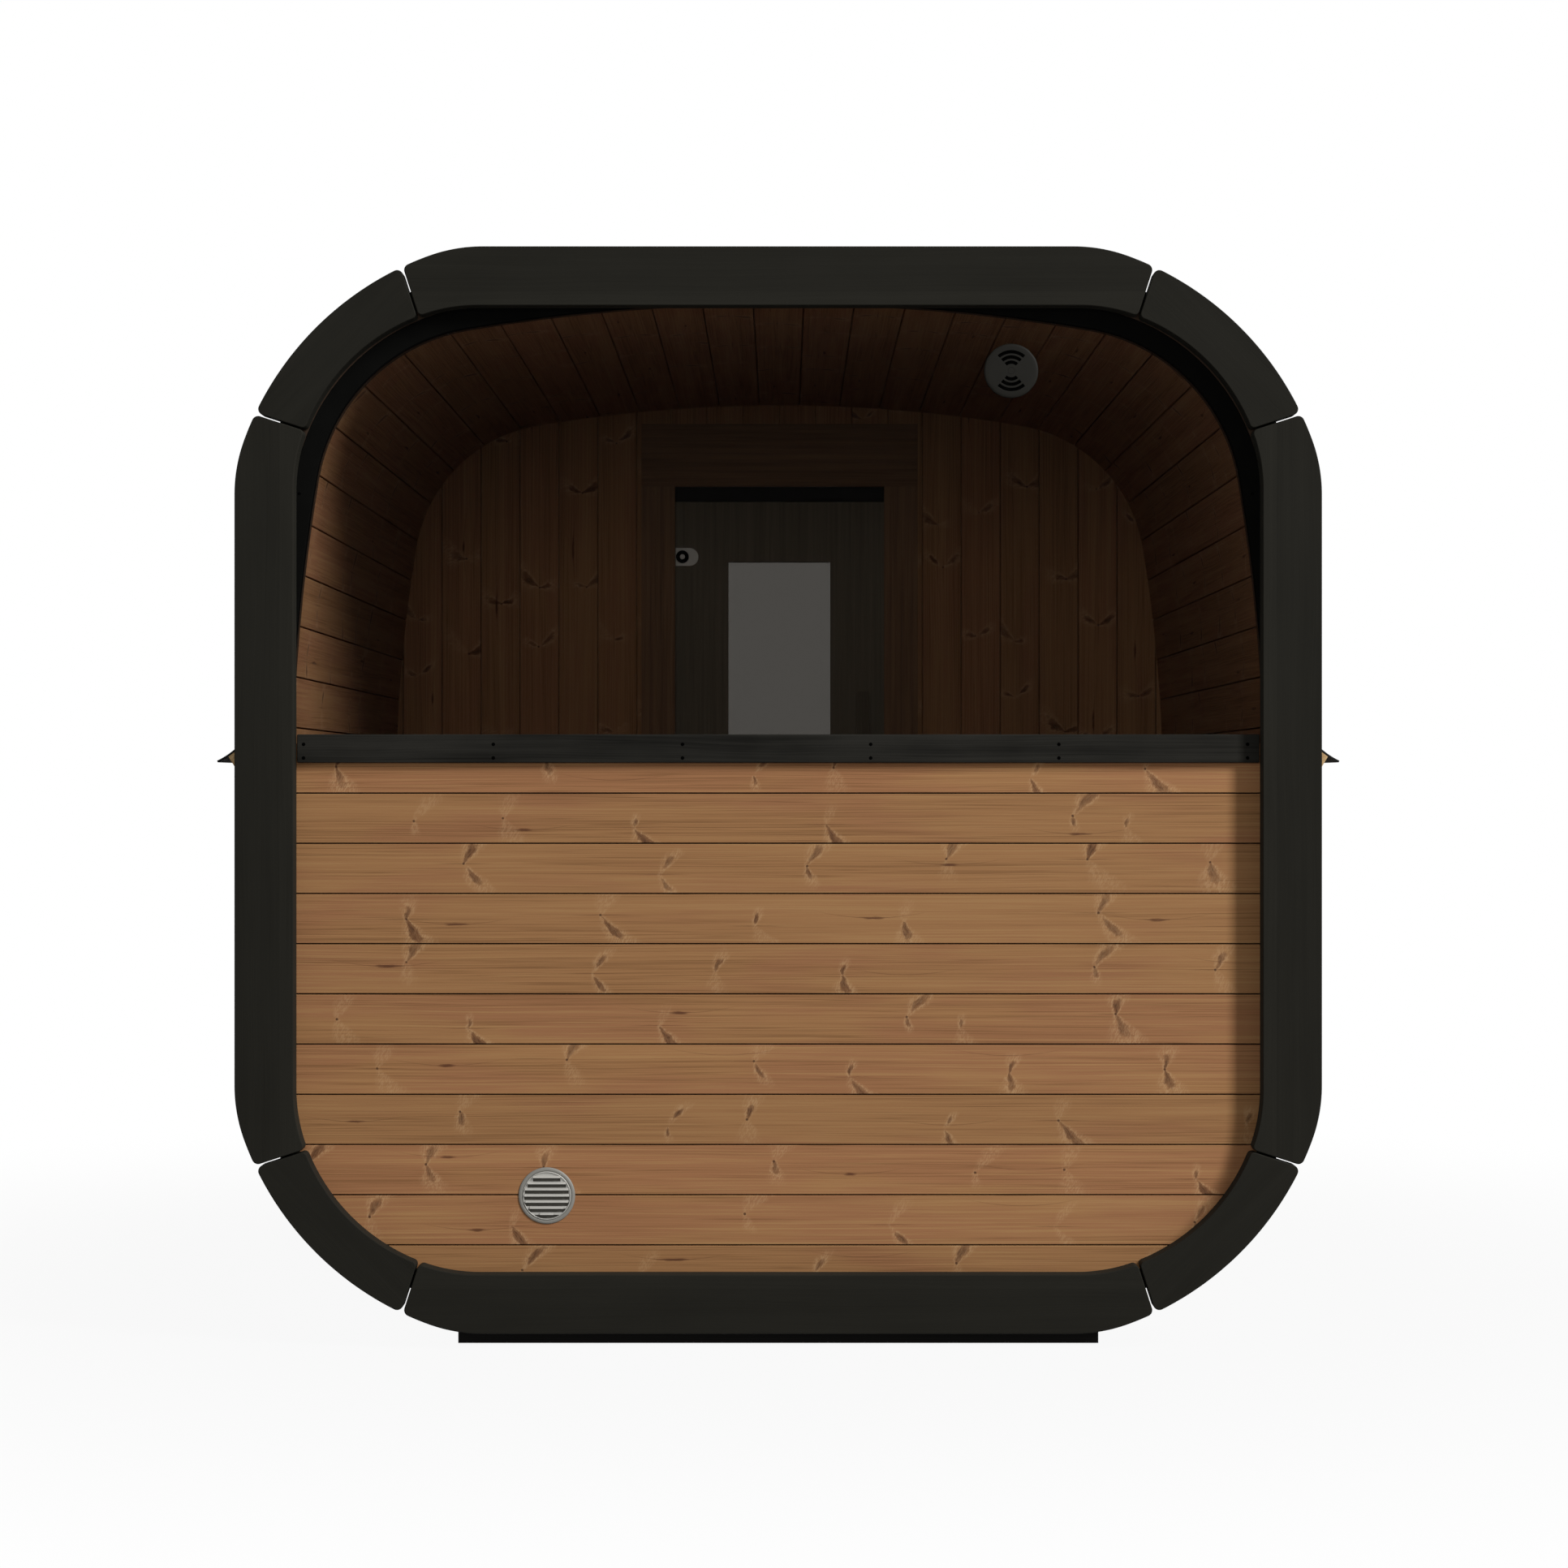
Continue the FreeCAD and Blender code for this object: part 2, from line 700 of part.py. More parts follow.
disc = newBody("window_vent_disc")
blank = pad(disc, addSketch(disc, [circleOutline(ventCentre, "vent_disc_radius")], discFront), "vent_disc_thick")
doc.recompute()
edges = blank.Shape.Edges
frontEdge = min(range(len(edges)), key=lambda number: edges[number].CenterOfMass.y)
rim = disc.newObject("PartDesign::Chamfer", "window_vent_disc_rim")
rim.Base = (blank, [f"Edge{frontEdge + 1}"])
bind(rim, "Size", "vent_rim_slope")
bore = circleOutline(ventCentre, "(vent_spindle_radius + vent_running_gap)")
pocket(disc, addSketch(disc, [bore], discFront), "vent_disc_thick")
for number in range(3):
    inner = f"(slot_outer_radius - {number} * slot_step - slot_width / 2)"
    outer = f"(slot_outer_radius - {number} * slot_step + slot_width / 2)"
    openSectors(disc, inner, outer, discFront, "vent_disc_thick")
place(disc)

# Door wall: plain wall panels beside, over and under the doorway
doorTop = f"({centreZ} + shell_half - door_head_drop)"
doorSill = f"({centreZ} - shell_half + door_sill_rise)"
headLevel = "(shell_half - door_head_drop)"
stepLevel = "(shell_half - door_sill_rise)"


def wallCap(level):
    """The part of the wall between the shell outline's top and a level, as wide as the doorway."""
    side = sideRadius("stave_thick")
    edge = math.degrees(math.asin(value("door_half") / value(side)))
    high = polar(topCentre, value(side), 90 - edge)
    low = Vector(high.x, value(level), 0)
    return [
        arc(topCentre, side, 90 - edge, 90 + edge),
        line(mirrored(high), mirrored(low)),
        line(mirrored(low), low),
        line(low, high),
    ]


place(extrude("front_wall_right", [upperShell("stave_thick", "door_half")], wallBack, "wall_thick"), 1)
place(extrude("front_wall_left", [upperShell("stave_thick", "door_half")], wallBack, "wall_thick"), 3)
place(extrude("front_wall_over_door", [wallCap(headLevel)], wallBack, "wall_thick"), 0)
place(extrude("front_wall_under_door", [wallCap(stepLevel)], wallBack, "wall_thick"), 2)

# The head board is the stop for the leaf's top edge; the casing laps over its side edges
block(
    "door_head",
    ("-door_half", wallBack, f"{doorTop} - door_head_height"),
    ("2 * door_half", "wall_thick - leaf_thick - stop_gap", "door_head_height"),
)

# Inside casing: two stepped strips up each side and a header board
casingFace = f"({wallBack} - casing_thick)"
casingInner = "(door_half - stop_lap)"
casingOuter = f"({casingInner} + casing_width)"


def casingSide(label, turn):
    """Two stepped strips as one moulding beside the doorway, seen in plan."""
    inner = value(casingInner)
    outer = value(casingOuter)
    middle = value(f"{casingOuter} - casing_outer_band")
    back = value(wallBack)
    face = value(casingFace)
    raised = value(f"{casingFace} - casing_step")
    points = [(inner, face), (middle, face), (middle, raised), (outer, raised), (outer, back), (inner, back)]
    body = newBody(label)
    section = polygon([Vector(turn * x, y, 0) for x, y in points])
    pad(body, addSketch(body, [section], doorSill, "XY_Plane"), f"({doorTop} - {doorSill})", False)
    return body


casingSide("door_casing_left", -1)
casingSide("door_casing_right", 1)
block(
    "door_casing_head",
    (f"-{casingOuter}", casingFace, doorTop),
    (f"2 * {casingOuter}", "casing_thick", "casing_head"),
)

# Door leaf with a narrow light, hung at its -X edge and opening outwards
leafLeft = "(-door_half + leaf_hinge_gap)"
leafRight = "(door_half - leaf_lock_gap)"
leafBottom = f"({doorSill} + leaf_end_gap)"
leafTop = f"({doorTop} - leaf_end_gap)"
leafFace = wallFace
leafBack = f"({wallFace} - leaf_thick)"
leaf = newBody("door_leaf")
lightLeft = f"({leafLeft} + leaf_stile)"
lightRight = f"({leafRight} - leaf_stile)"
lightBottom = f"({leafBottom} + leaf_foot_rail)"
lightTop = f"({leafTop} - leaf_head_rail)"
leafOutline = rectangle(value(leafLeft), value(leafBottom), value(leafRight), value(leafTop))
lightOutline = rectangle(value(lightLeft), value(lightBottom), value(lightRight), value(lightTop))
pad(leaf, addSketch(leaf, [leafOutline], leafBack), "leaf_thick")
pocket(leaf, addSketch(leaf, [lightOutline], leafBack), "leaf_thick")
block(
    "door_light",
    (lightLeft, f"{leafBack} + (leaf_thick - light_thick) / 2", lightBottom),
    (f"{lightRight} - {lightLeft}", "light_thick", f"{lightTop} - {lightBottom}"),
)

# Hinges: the pin stands just outside the leaf's face, over the gap beside the leaf
pinX = "(-door_half + hinge_pin_in)"
pinY = f"({wallFace} + hinge_pin_out)"
hingeLevels = (f"({leafBottom} + hinge_low_rise)", f"({leafTop} - hinge_high_drop)")


def pinPoint():
    return Vector(value(pinX), value(pinY), 0)


def hingeHalf(label, sign, low, high, bored):
    """Plates and knuckles of both hinges: sign -1 lies on the wall, +1 on the leaf."""
    body = newBody(label)
    pin = pinPoint()
    face = value(wallFace)
    plateFace = value(f"{wallFace} + hinge_plate")
    near = pin.x + sign * value("hinge_plate_gap")
    far = near + sign * value("hinge_reach")
    plate = rectangle(min(near, far), face, max(near, far), plateFace)
    web = rectangle(min(near, pin.x), value(f"{wallFace} + hinge_face_gap"), max(near, pin.x), pin.y)
    knuckle = [circleOutline(pin, "hinge_knuckle_radius")]
    bore = [circleOutline(pin, "(hinge_pin_radius + hinge_bore_gap)")]
    core = [circleOutline(pin, "hinge_pin_radius")]
    for middle in hingeLevels:
        bottom = f"({middle} - hinge_height / 2)"
        start = f"({middle} + ({low}))"
        length = f"({high} - ({low}))"
        pad(body, addSketch(body, [plate], bottom, "XY_Plane"), "hinge_height", False)
        pad(body, addSketch(body, [web], start, "XY_Plane"), length, False)
        pad(body, addSketch(body, knuckle, start, "XY_Plane"), length, False)
        if bored:
            pocket(body, addSketch(body, bore, start, "XY_Plane"), length, False)
        else:
            pad(body, addSketch(body, core, bottom, "XY_Plane"), "hinge_height", False)
    return body


hingeHalf("hinge_knuckles", -1, "-hinge_height / 2", "-hinge_split / 2", False)
hingeHalf("hinge_straps", 1, "hinge_split / 2", "hinge_height / 2", True)

# Clamps on the inside of the leaf: a plate with one round end and a round boss
clampEnd = "(clamp_height / 2)"
clampLeft = f"(clamp_side_gap - {casingInner})"


def hingeClamps():
    body = newBody("hinge_clamps")
    for level in hingeLevels:
        left = value(clampLeft)
        middle = value(level)
        half = value(clampEnd)
        turn = Vector(left + value(f"clamp_width - {clampEnd}"), middle, 0)
        plate = [
            arc(turn, clampEnd, -90, 90),
            line(Vector(turn.x, middle + half, 0), Vector(left, middle + half, 0)),
            line(Vector(left, middle + half, 0), Vector(left, middle - half, 0)),
            line(Vector(left, middle - half, 0), Vector(turn.x, middle - half, 0)),
        ]
        ring = Vector(left + value("clamp_ring_inset"), middle, 0)
        plateFace = f"({leafBack} - clamp_thick)"
        ringFace = f"({plateFace} - clamp_ring_out)"
        pad(body, addSketch(body, [plate], plateFace), "clamp_thick")
        pad(body, addSketch(body, [circleOutline(ring, "clamp_ring_radius")], ringFace), "clamp_ring_out")
    return body


hingeClamps()


def doorHandles():
    """A flat bar on two square posts, one on each face of the leaf."""
    body = newBody("door_handles")
    middleX = value(f"{leafRight} - handle_inset")
    half = value("handle_width / 2")
    middle = value(f"({leafBottom} + {leafTop}) / 2 + handle_rise")
    low = middle - value("handle_length / 2")
    high = middle + value("handle_length / 2")
    bar = rectangle(middleX - half, low, middleX + half, high)
    post = value("handle_post_width / 2")
    posts = []
    for level in (low + value("handle_post_inset"), high - value("handle_post_inset")):
        posts.append(rectangle(middleX - post, level - post, middleX + post, level + post))
    outside = (leafFace, f"({leafFace} + handle_finger_gap)")
    inside = (f"({leafBack} - handle_finger_gap)", f"({leafBack} - handle_finger_gap - handle_thick)")
    for postStart, barStart in (outside, inside):
        pad(body, addSketch(body, [bar], barStart), "handle_thick")
        for post in posts:
            pad(body, addSketch(body, [post], postStart), "handle_finger_gap")
    return body


doorHandles()

# Names of every finished piece
def finished():
    return [item for item in doc.Objects if item.TypeId in ("PartDesign::Body", "Part::Box")]


doc.recompute()
failed = [item.Name for item in doc.Objects if "Invalid" in item.State or "Error" in item.State]
if failed:
    raise RuntimeError("failed: " + ", ".join(failed))
for item in finished():
    shape = item.Shape
    if shape.isNull() or not shape.isValid() or not shape.Solids:
        raise RuntimeError(f"{item.Label} has no valid shape")
for item in finished():
    item.Shape.exportStep(f"parts/{item.Label}.step")
    box = item.Shape.BoundBox
    print(f"{item.Label:28s} {len(item.Shape.Solids)} x {box.XMin:8.1f}..{box.XMax:8.1f}"
          f"  y {box.YMin:7.1f}..{box.YMax:7.1f}  z {box.ZMin:7.1f}..{box.ZMax:7.1f}")
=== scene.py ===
import bpy
import math
from functools import partialmethod
import numpy as np
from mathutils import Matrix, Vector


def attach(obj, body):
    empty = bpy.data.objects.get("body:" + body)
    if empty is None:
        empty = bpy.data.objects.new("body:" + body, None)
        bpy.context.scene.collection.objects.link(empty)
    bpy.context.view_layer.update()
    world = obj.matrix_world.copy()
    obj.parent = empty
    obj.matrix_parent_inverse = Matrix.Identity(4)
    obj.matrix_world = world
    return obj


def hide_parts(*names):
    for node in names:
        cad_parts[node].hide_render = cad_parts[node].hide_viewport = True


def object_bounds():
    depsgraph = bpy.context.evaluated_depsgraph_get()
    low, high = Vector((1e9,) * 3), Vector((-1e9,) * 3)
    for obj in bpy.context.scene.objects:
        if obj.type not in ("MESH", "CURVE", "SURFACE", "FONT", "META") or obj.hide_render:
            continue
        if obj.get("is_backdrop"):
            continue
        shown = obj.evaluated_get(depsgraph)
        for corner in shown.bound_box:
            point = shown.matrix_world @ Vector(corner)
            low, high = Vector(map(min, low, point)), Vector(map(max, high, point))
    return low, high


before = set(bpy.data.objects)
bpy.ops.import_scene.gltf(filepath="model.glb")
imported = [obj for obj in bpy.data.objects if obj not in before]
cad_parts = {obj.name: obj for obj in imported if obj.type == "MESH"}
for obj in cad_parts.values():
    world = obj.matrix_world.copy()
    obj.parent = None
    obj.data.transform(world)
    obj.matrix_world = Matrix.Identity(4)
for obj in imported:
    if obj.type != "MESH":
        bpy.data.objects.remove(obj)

scene = bpy.context.scene
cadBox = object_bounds()
random = np.random.default_rng(11)
print("frame loaded")

# Shared sizes, in metres. Outlines are cross-sections of the cabin measured from the middle of the
# shell, and are lifted by centreHeight when they become solids.
cabin = {
    "length": 2.000, "centreHeight": 1.061, "frameThick": 0.042, "wallThick": 0.042, "staveThick": 0.042,
    "shellHalf": 0.945, "sideRadius": 3.580, "cornerRadius": 0.363,
}
frameFace = cabin["length"] / 2
wallFace = frameFace - cabin["frameThick"]
wallBack = wallFace - cabin["wallThick"]
centre = cabin["centreHeight"]
outside = cabin["staveThick"]


# Shader maths: a Field wraps an output socket, and the operators add Math nodes
class Field:
    def __init__(self, tree, socket):
        self.tree, self.socket = tree, socket

    def math(self, operation, *others):
        node = self.tree.nodes.new("ShaderNodeMath")
        node.operation = operation
        for slot, item in enumerate((self,) + others):
            connect(self.tree, node.inputs[slot], item)
        return Field(self.tree, node.outputs[0])

    __add__ = __radd__ = partialmethod(math, "ADD")
    __sub__ = partialmethod(math, "SUBTRACT")
    __mul__ = partialmethod(math, "MULTIPLY")
    __truediv__ = partialmethod(math, "DIVIDE")
    __pow__ = partialmethod(math, "POWER")
    size = partialmethod(math, "ABSOLUTE")
    atLeast = partialmethod(math, "MAXIMUM")
    over = partialmethod(math, "GREATER_THAN")

    def __rsub__(self, other):
        return self * -1.0 + other

    def ramp(self, low, high):
        node = self.tree.nodes.new("ShaderNodeMapRange")
        node.interpolation_type = "SMOOTHSTEP"
        for name, item in (("Value", self), ("From Min", low), ("From Max", high)):
            connect(self.tree, node.inputs[name], item)
        return Field(self.tree, node.outputs["Result"])

    def fade(self, low, high):
        return 1.0 - self.ramp(low, high)


def connect(tree, target, item):
    if isinstance(item, Field):
        tree.links.new(item.socket, target)
    elif isinstance(item, tuple) and len(target.default_value) == 4:
        target.default_value = (*item, 1.0)
    else:
        target.default_value = item


class Paint:
    def __init__(self, name):
        self.material = bpy.data.materials.new(name)
        self.material.use_nodes = True
        self.tree = self.material.node_tree
        self.tree.nodes.clear()

    def node(self, kind, settings=None, output=0, **inputs):
        node = self.tree.nodes.new(kind)
        for key, item in (settings or {}).items():
            setattr(node, key, item)
        for key, item in inputs.items():
            connect(self.tree, node.inputs[key.replace("_", " ")], item)
        return Field(self.tree, node.outputs[output])

    def split(self, vector):
        source = self.node("ShaderNodeSeparateXYZ", Vector=vector).socket.node
        return [Field(self.tree, source.outputs[k]) for k in range(3)]

    def join(self, x, y, z):
        return self.node("ShaderNodeCombineXYZ", X=x, Y=y, Z=z)

    def noise(self, vector, scale, detail, rough=0.5):
        return self.node("ShaderNodeTexNoise", Vector=vector, Scale=scale, Detail=detail, Roughness=rough)

    # noise over three coordinates that are already stretched
    def grain(self, x, y, z, detail, rough=0.5):
        return self.noise(self.join(x, y, z), 1.0, detail, rough)

    def place(self):
        return self.node("ShaderNodeTexCoord", output=3)

    # the pattern of a board: u along it, v across it, and its tone
    def board(self):
        along, side, _ = self.split(self.node("ShaderNodeUVMap", {"uv_map": "pattern"}))
        return along, side, self.node("ShaderNodeAttribute", {"attribute_name": "tone"}, output=2)

    def colours(self, factor, *stops):
        ramp = self.node("ShaderNodeValToRGB", Fac=factor)
        elements = ramp.socket.node.color_ramp.elements
        while len(elements) < len(stops):
            elements.new(1.0)
        for element, (at, colour) in zip(elements, stops):
            element.position = at
            element.color = (*colour, 1.0)
        return ramp

    def blend(self, factor, first, second, mode="MIX"):
        mix = self.node("ShaderNodeMix", {"data_type": "RGBA", "blend_type": mode}, output=2)
        for slot, item in ((0, factor), (6, first), (7, second)):
            connect(self.tree, mix.socket.node.inputs[slot], item)
        return mix

    def gain(self, colour, amount):
        grey = self.node("ShaderNodeCombineColor", Red=amount, Green=amount, Blue=amount)
        return self.blend(1.0, colour, grey, "MULTIPLY")

    def mixShader(self, factor, first, second):
        mix = self.node("ShaderNodeMixShader", Fac=factor)
        for slot, item in ((1, first), (2, second)):
            self.tree.links.new(item.socket, mix.socket.node.inputs[slot])
        return mix

    def finish(self, shader):
        output = self.tree.nodes.new("ShaderNodeOutputMaterial")
        self.tree.links.new(shader.socket, output.inputs[0])
        return self.material

    def surface(self, colour, rough, gloss, height, distance, strength, metal=0.0):
        bump = self.node("ShaderNodeBump", Height=height, Distance=distance, Strength=strength)
        return self.finish(self.node(
            "ShaderNodeBsdfPrincipled", Base_Color=colour, Roughness=rough, Specular_IOR_Level=gloss,
            Metallic=metal, Normal=bump))


def srgb(*levels):
    shares = np.array(levels) / 255
    return tuple(c / 12.92 if c <= 0.04045 else ((c + 0.055) / 1.055) ** 2.4 for c in shares)


def shades(base, spread):
    return tuple(tuple(c * k for c in base) for k in (1 - spread, 1 + spread))


# 1 on rays that show the background: seen directly, mirrored, or through a pane
def seenRays(tree):
    rays = tree.nodes.new("ShaderNodeLightPath").outputs
    camera, mirrored, through = (
        Field(tree, rays[f"Is {kind} Ray"]) for kind in ("Camera", "Glossy", "Transmission"))
    return camera.atLeast(mirrored).atLeast(through)


# Objects and meshes
def link(name, data):
    obj = bpy.data.objects.new(name, data)
    scene.collection.objects.link(obj)
    return obj


def makeObject(name, verts, faces, body, material):
    mesh = bpy.data.meshes.new(name)
    mesh.from_pydata(verts, [], faces)
    mesh.update()
    obj = link(name, mesh)
    obj.data.materials.append(material)
    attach(obj, body)
    return obj


def smooth(obj):
    obj.data.polygons.foreach_set("use_smooth", np.full(len(obj.data.polygons), True))
    return obj


def ease(obj, width, segments=2, angle=35.0):
    edge = obj.modifiers.new("eased edges", "BEVEL")
    edge.width = width
    edge.segments = segments
    edge.limit_method = "ANGLE"
    edge.angle_limit = math.radians(angle)
    even = obj.modifiers.new("even normals", "WEIGHTED_NORMAL")
    even.keep_sharp = True
    return smooth(obj)


# Set a flat outline up at a depth: across the cabin in (x, z), or lengthwise in (y, z)
def across(outline, depth):
    return np.column_stack([outline[:, 0], np.full(len(outline), depth), outline[:, 1] + centre])


def lengthwise(outline, depth):
    return np.column_stack([np.full(len(outline), depth), outline])


# Closed prisms of the cabin kept in one mesh, each with its own pattern coordinates and tone
class Stack:
    def __init__(self):
        self.verts, self.faces, self.patterns, self.tones = [], [], [], []
        self.count = 0

    def prism(self, outline, low, high, pattern=None, tone=0.5, carry=across):
        outline = np.asarray(outline, float)
        x, y = outline.T
        clockwise = np.sum(x * np.roll(y, -1) - y * np.roll(x, -1)) < 0
        if clockwise != (carry is across):
            outline = outline[::-1]
        size = len(outline)
        near = self.count + np.arange(size)
        far = near + size
        sides = np.column_stack([near, np.roll(near, -1), np.roll(far, -1), far])
        self.faces += [tuple(near[::-1]), tuple(far)] + [tuple(side) for side in sides]
        for depth in (low, high):
            self.verts.append(carry(outline, depth))
            self.patterns.append(pattern(outline, depth) if pattern else outline)
        self.tones.append(np.full(2 * size, tone))
        self.count += 2 * size

    def build(self, name, slotName, material, bevel=0.0, segments=2):
        obj = makeObject(name, np.concatenate(self.verts), self.faces, "cabin", material)
        corners = np.empty(len(obj.data.loops), int)
        obj.data.loops.foreach_get("vertex_index", corners)
        layer = obj.data.uv_layers.new(name="pattern")
        layer.data.foreach_set("uv", np.concatenate(self.patterns)[corners].ravel())
        tone = obj.data.attributes.new("tone", "FLOAT", "POINT")
        tone.data.foreach_set("value", np.concatenate(self.tones))
        return ease(obj, bevel, segments) if bevel else obj


# A piece of the cabin that is one prism
def single(name, slotName, material, outline, low, high, bevel=0.0, segments=2, pattern=None, tone=0.5):
    stack = Stack()
    stack.prism(outline, low, high, pattern, tone)
    return stack.build(name, slotName, material, bevel, segments)


# A matrix that turns rows of points clockwise by quarters, seen from the window wall
def quarterTurn(quarter):
    turn = math.radians(90 * quarter)
    return np.array([[math.cos(turn), -math.sin(turn)], [math.sin(turn), math.cos(turn)]])


def arcPoints(middle, radius, first, last, step=2.0):
    turns = np.radians(np.linspace(first, last, max(2, int(abs(last - first) / step) + 2)))
    return np.array(middle) + radius * np.column_stack([np.cos(turns), np.sin(turns)])


def unit(vectors):
    return vectors / np.linalg.norm(vectors, axis=-1, keepdims=True)


def chain(*parts):
    points = np.concatenate([np.atleast_2d(part) for part in parts])
    return points[np.linalg.norm(points - np.roll(points, 1, axis=0), axis=1) > 1e-5]


# Shell outline: side arcs and corner arcs, all tangent, that keep their centres when offset.
# They meet at the angle a for which (R - r)(cos a - sin a) is the distance of a side arc's centre.
spread = cabin["sideRadius"] - cabin["cornerRadius"]
sideCentre = cabin["sideRadius"] - cabin["shellHalf"]
joinAngle = math.acos(sideCentre / spread / math.sqrt(2)) - math.pi / 4
joinDegrees = math.degrees(joinAngle)
cornerCentre = spread * math.sin(joinAngle)
cornerMiddle = (cornerCentre, cornerCentre)


# Radii of the side arcs and of the corner arcs at an offset
def arcRadii(offset):
    return cabin["sideRadius"] + offset, cabin["cornerRadius"] + offset


# How far an offset of the shell outline reaches sideways at a level
def shellReach(level, offset):
    level = np.abs(level)
    side, corner = arcRadii(offset)
    onSide = np.sqrt(np.maximum(side ** 2 - level ** 2, 0)) - sideCentre
    onCorner = cornerCentre + np.sqrt(np.maximum(corner ** 2 - (level - cornerCentre) ** 2, 0))
    onTop = np.sqrt(np.maximum(side ** 2 - (level + sideCentre) ** 2, 0))
    sideEnd = side * math.sin(joinAngle)
    cornerEnd = cornerCentre + corner * math.cos(joinAngle)
    return np.where(level <= sideEnd, onSide, np.where(level <= cornerEnd, onCorner, onTop))


# An offset of the shell outline, anticlockwise from the foot of its right side arc
def shellLoop(offset, sideStep=0.35, cornerStep=2.0):
    side, corner = arcRadii(offset)
    onSide = arcPoints((-sideCentre, 0), side, -joinDegrees, joinDegrees, sideStep)
    onCorner = arcPoints(cornerMiddle, corner, joinDegrees, 90 - joinDegrees, cornerStep)
    arcs = np.concatenate([onSide[:-1], onCorner[:-1]])
    return np.concatenate([arcs @ quarterTurn(-quarter) for quarter in range(4)])


# The part of the outline above a level, from its right foot over the top to its left foot
def upperLoop(offset, level):
    loop = shellLoop(offset)
    upper = loop[loop[:, 1] > level + 1e-4]
    order = np.argsort(np.arctan2(upper[:, 1] - level, upper[:, 0]))
    reach = float(shellReach(level, offset))
    return np.concatenate([[[reach, level]], upper[order], [[-reach, level]]])


# Heat-treated boards. u runs along a board and v across it from its middle, in metres. Whorls of
# knots and resin scars sit in one-dimensional cells along the board.
timber = {
    "pale": srgb(161, 122, 80), "body": srgb(153, 111, 72), "rosy": srgb(149, 104, 70),
    "dark": srgb(105, 71, 41), "halo": srgb(188, 152, 112), "knot": srgb(102, 66, 41),
    "pith": srgb(64, 38, 22), "resin": srgb(82, 48, 29),
    "whorlEvery": 0.31, "resinEvery": 0.62,
}


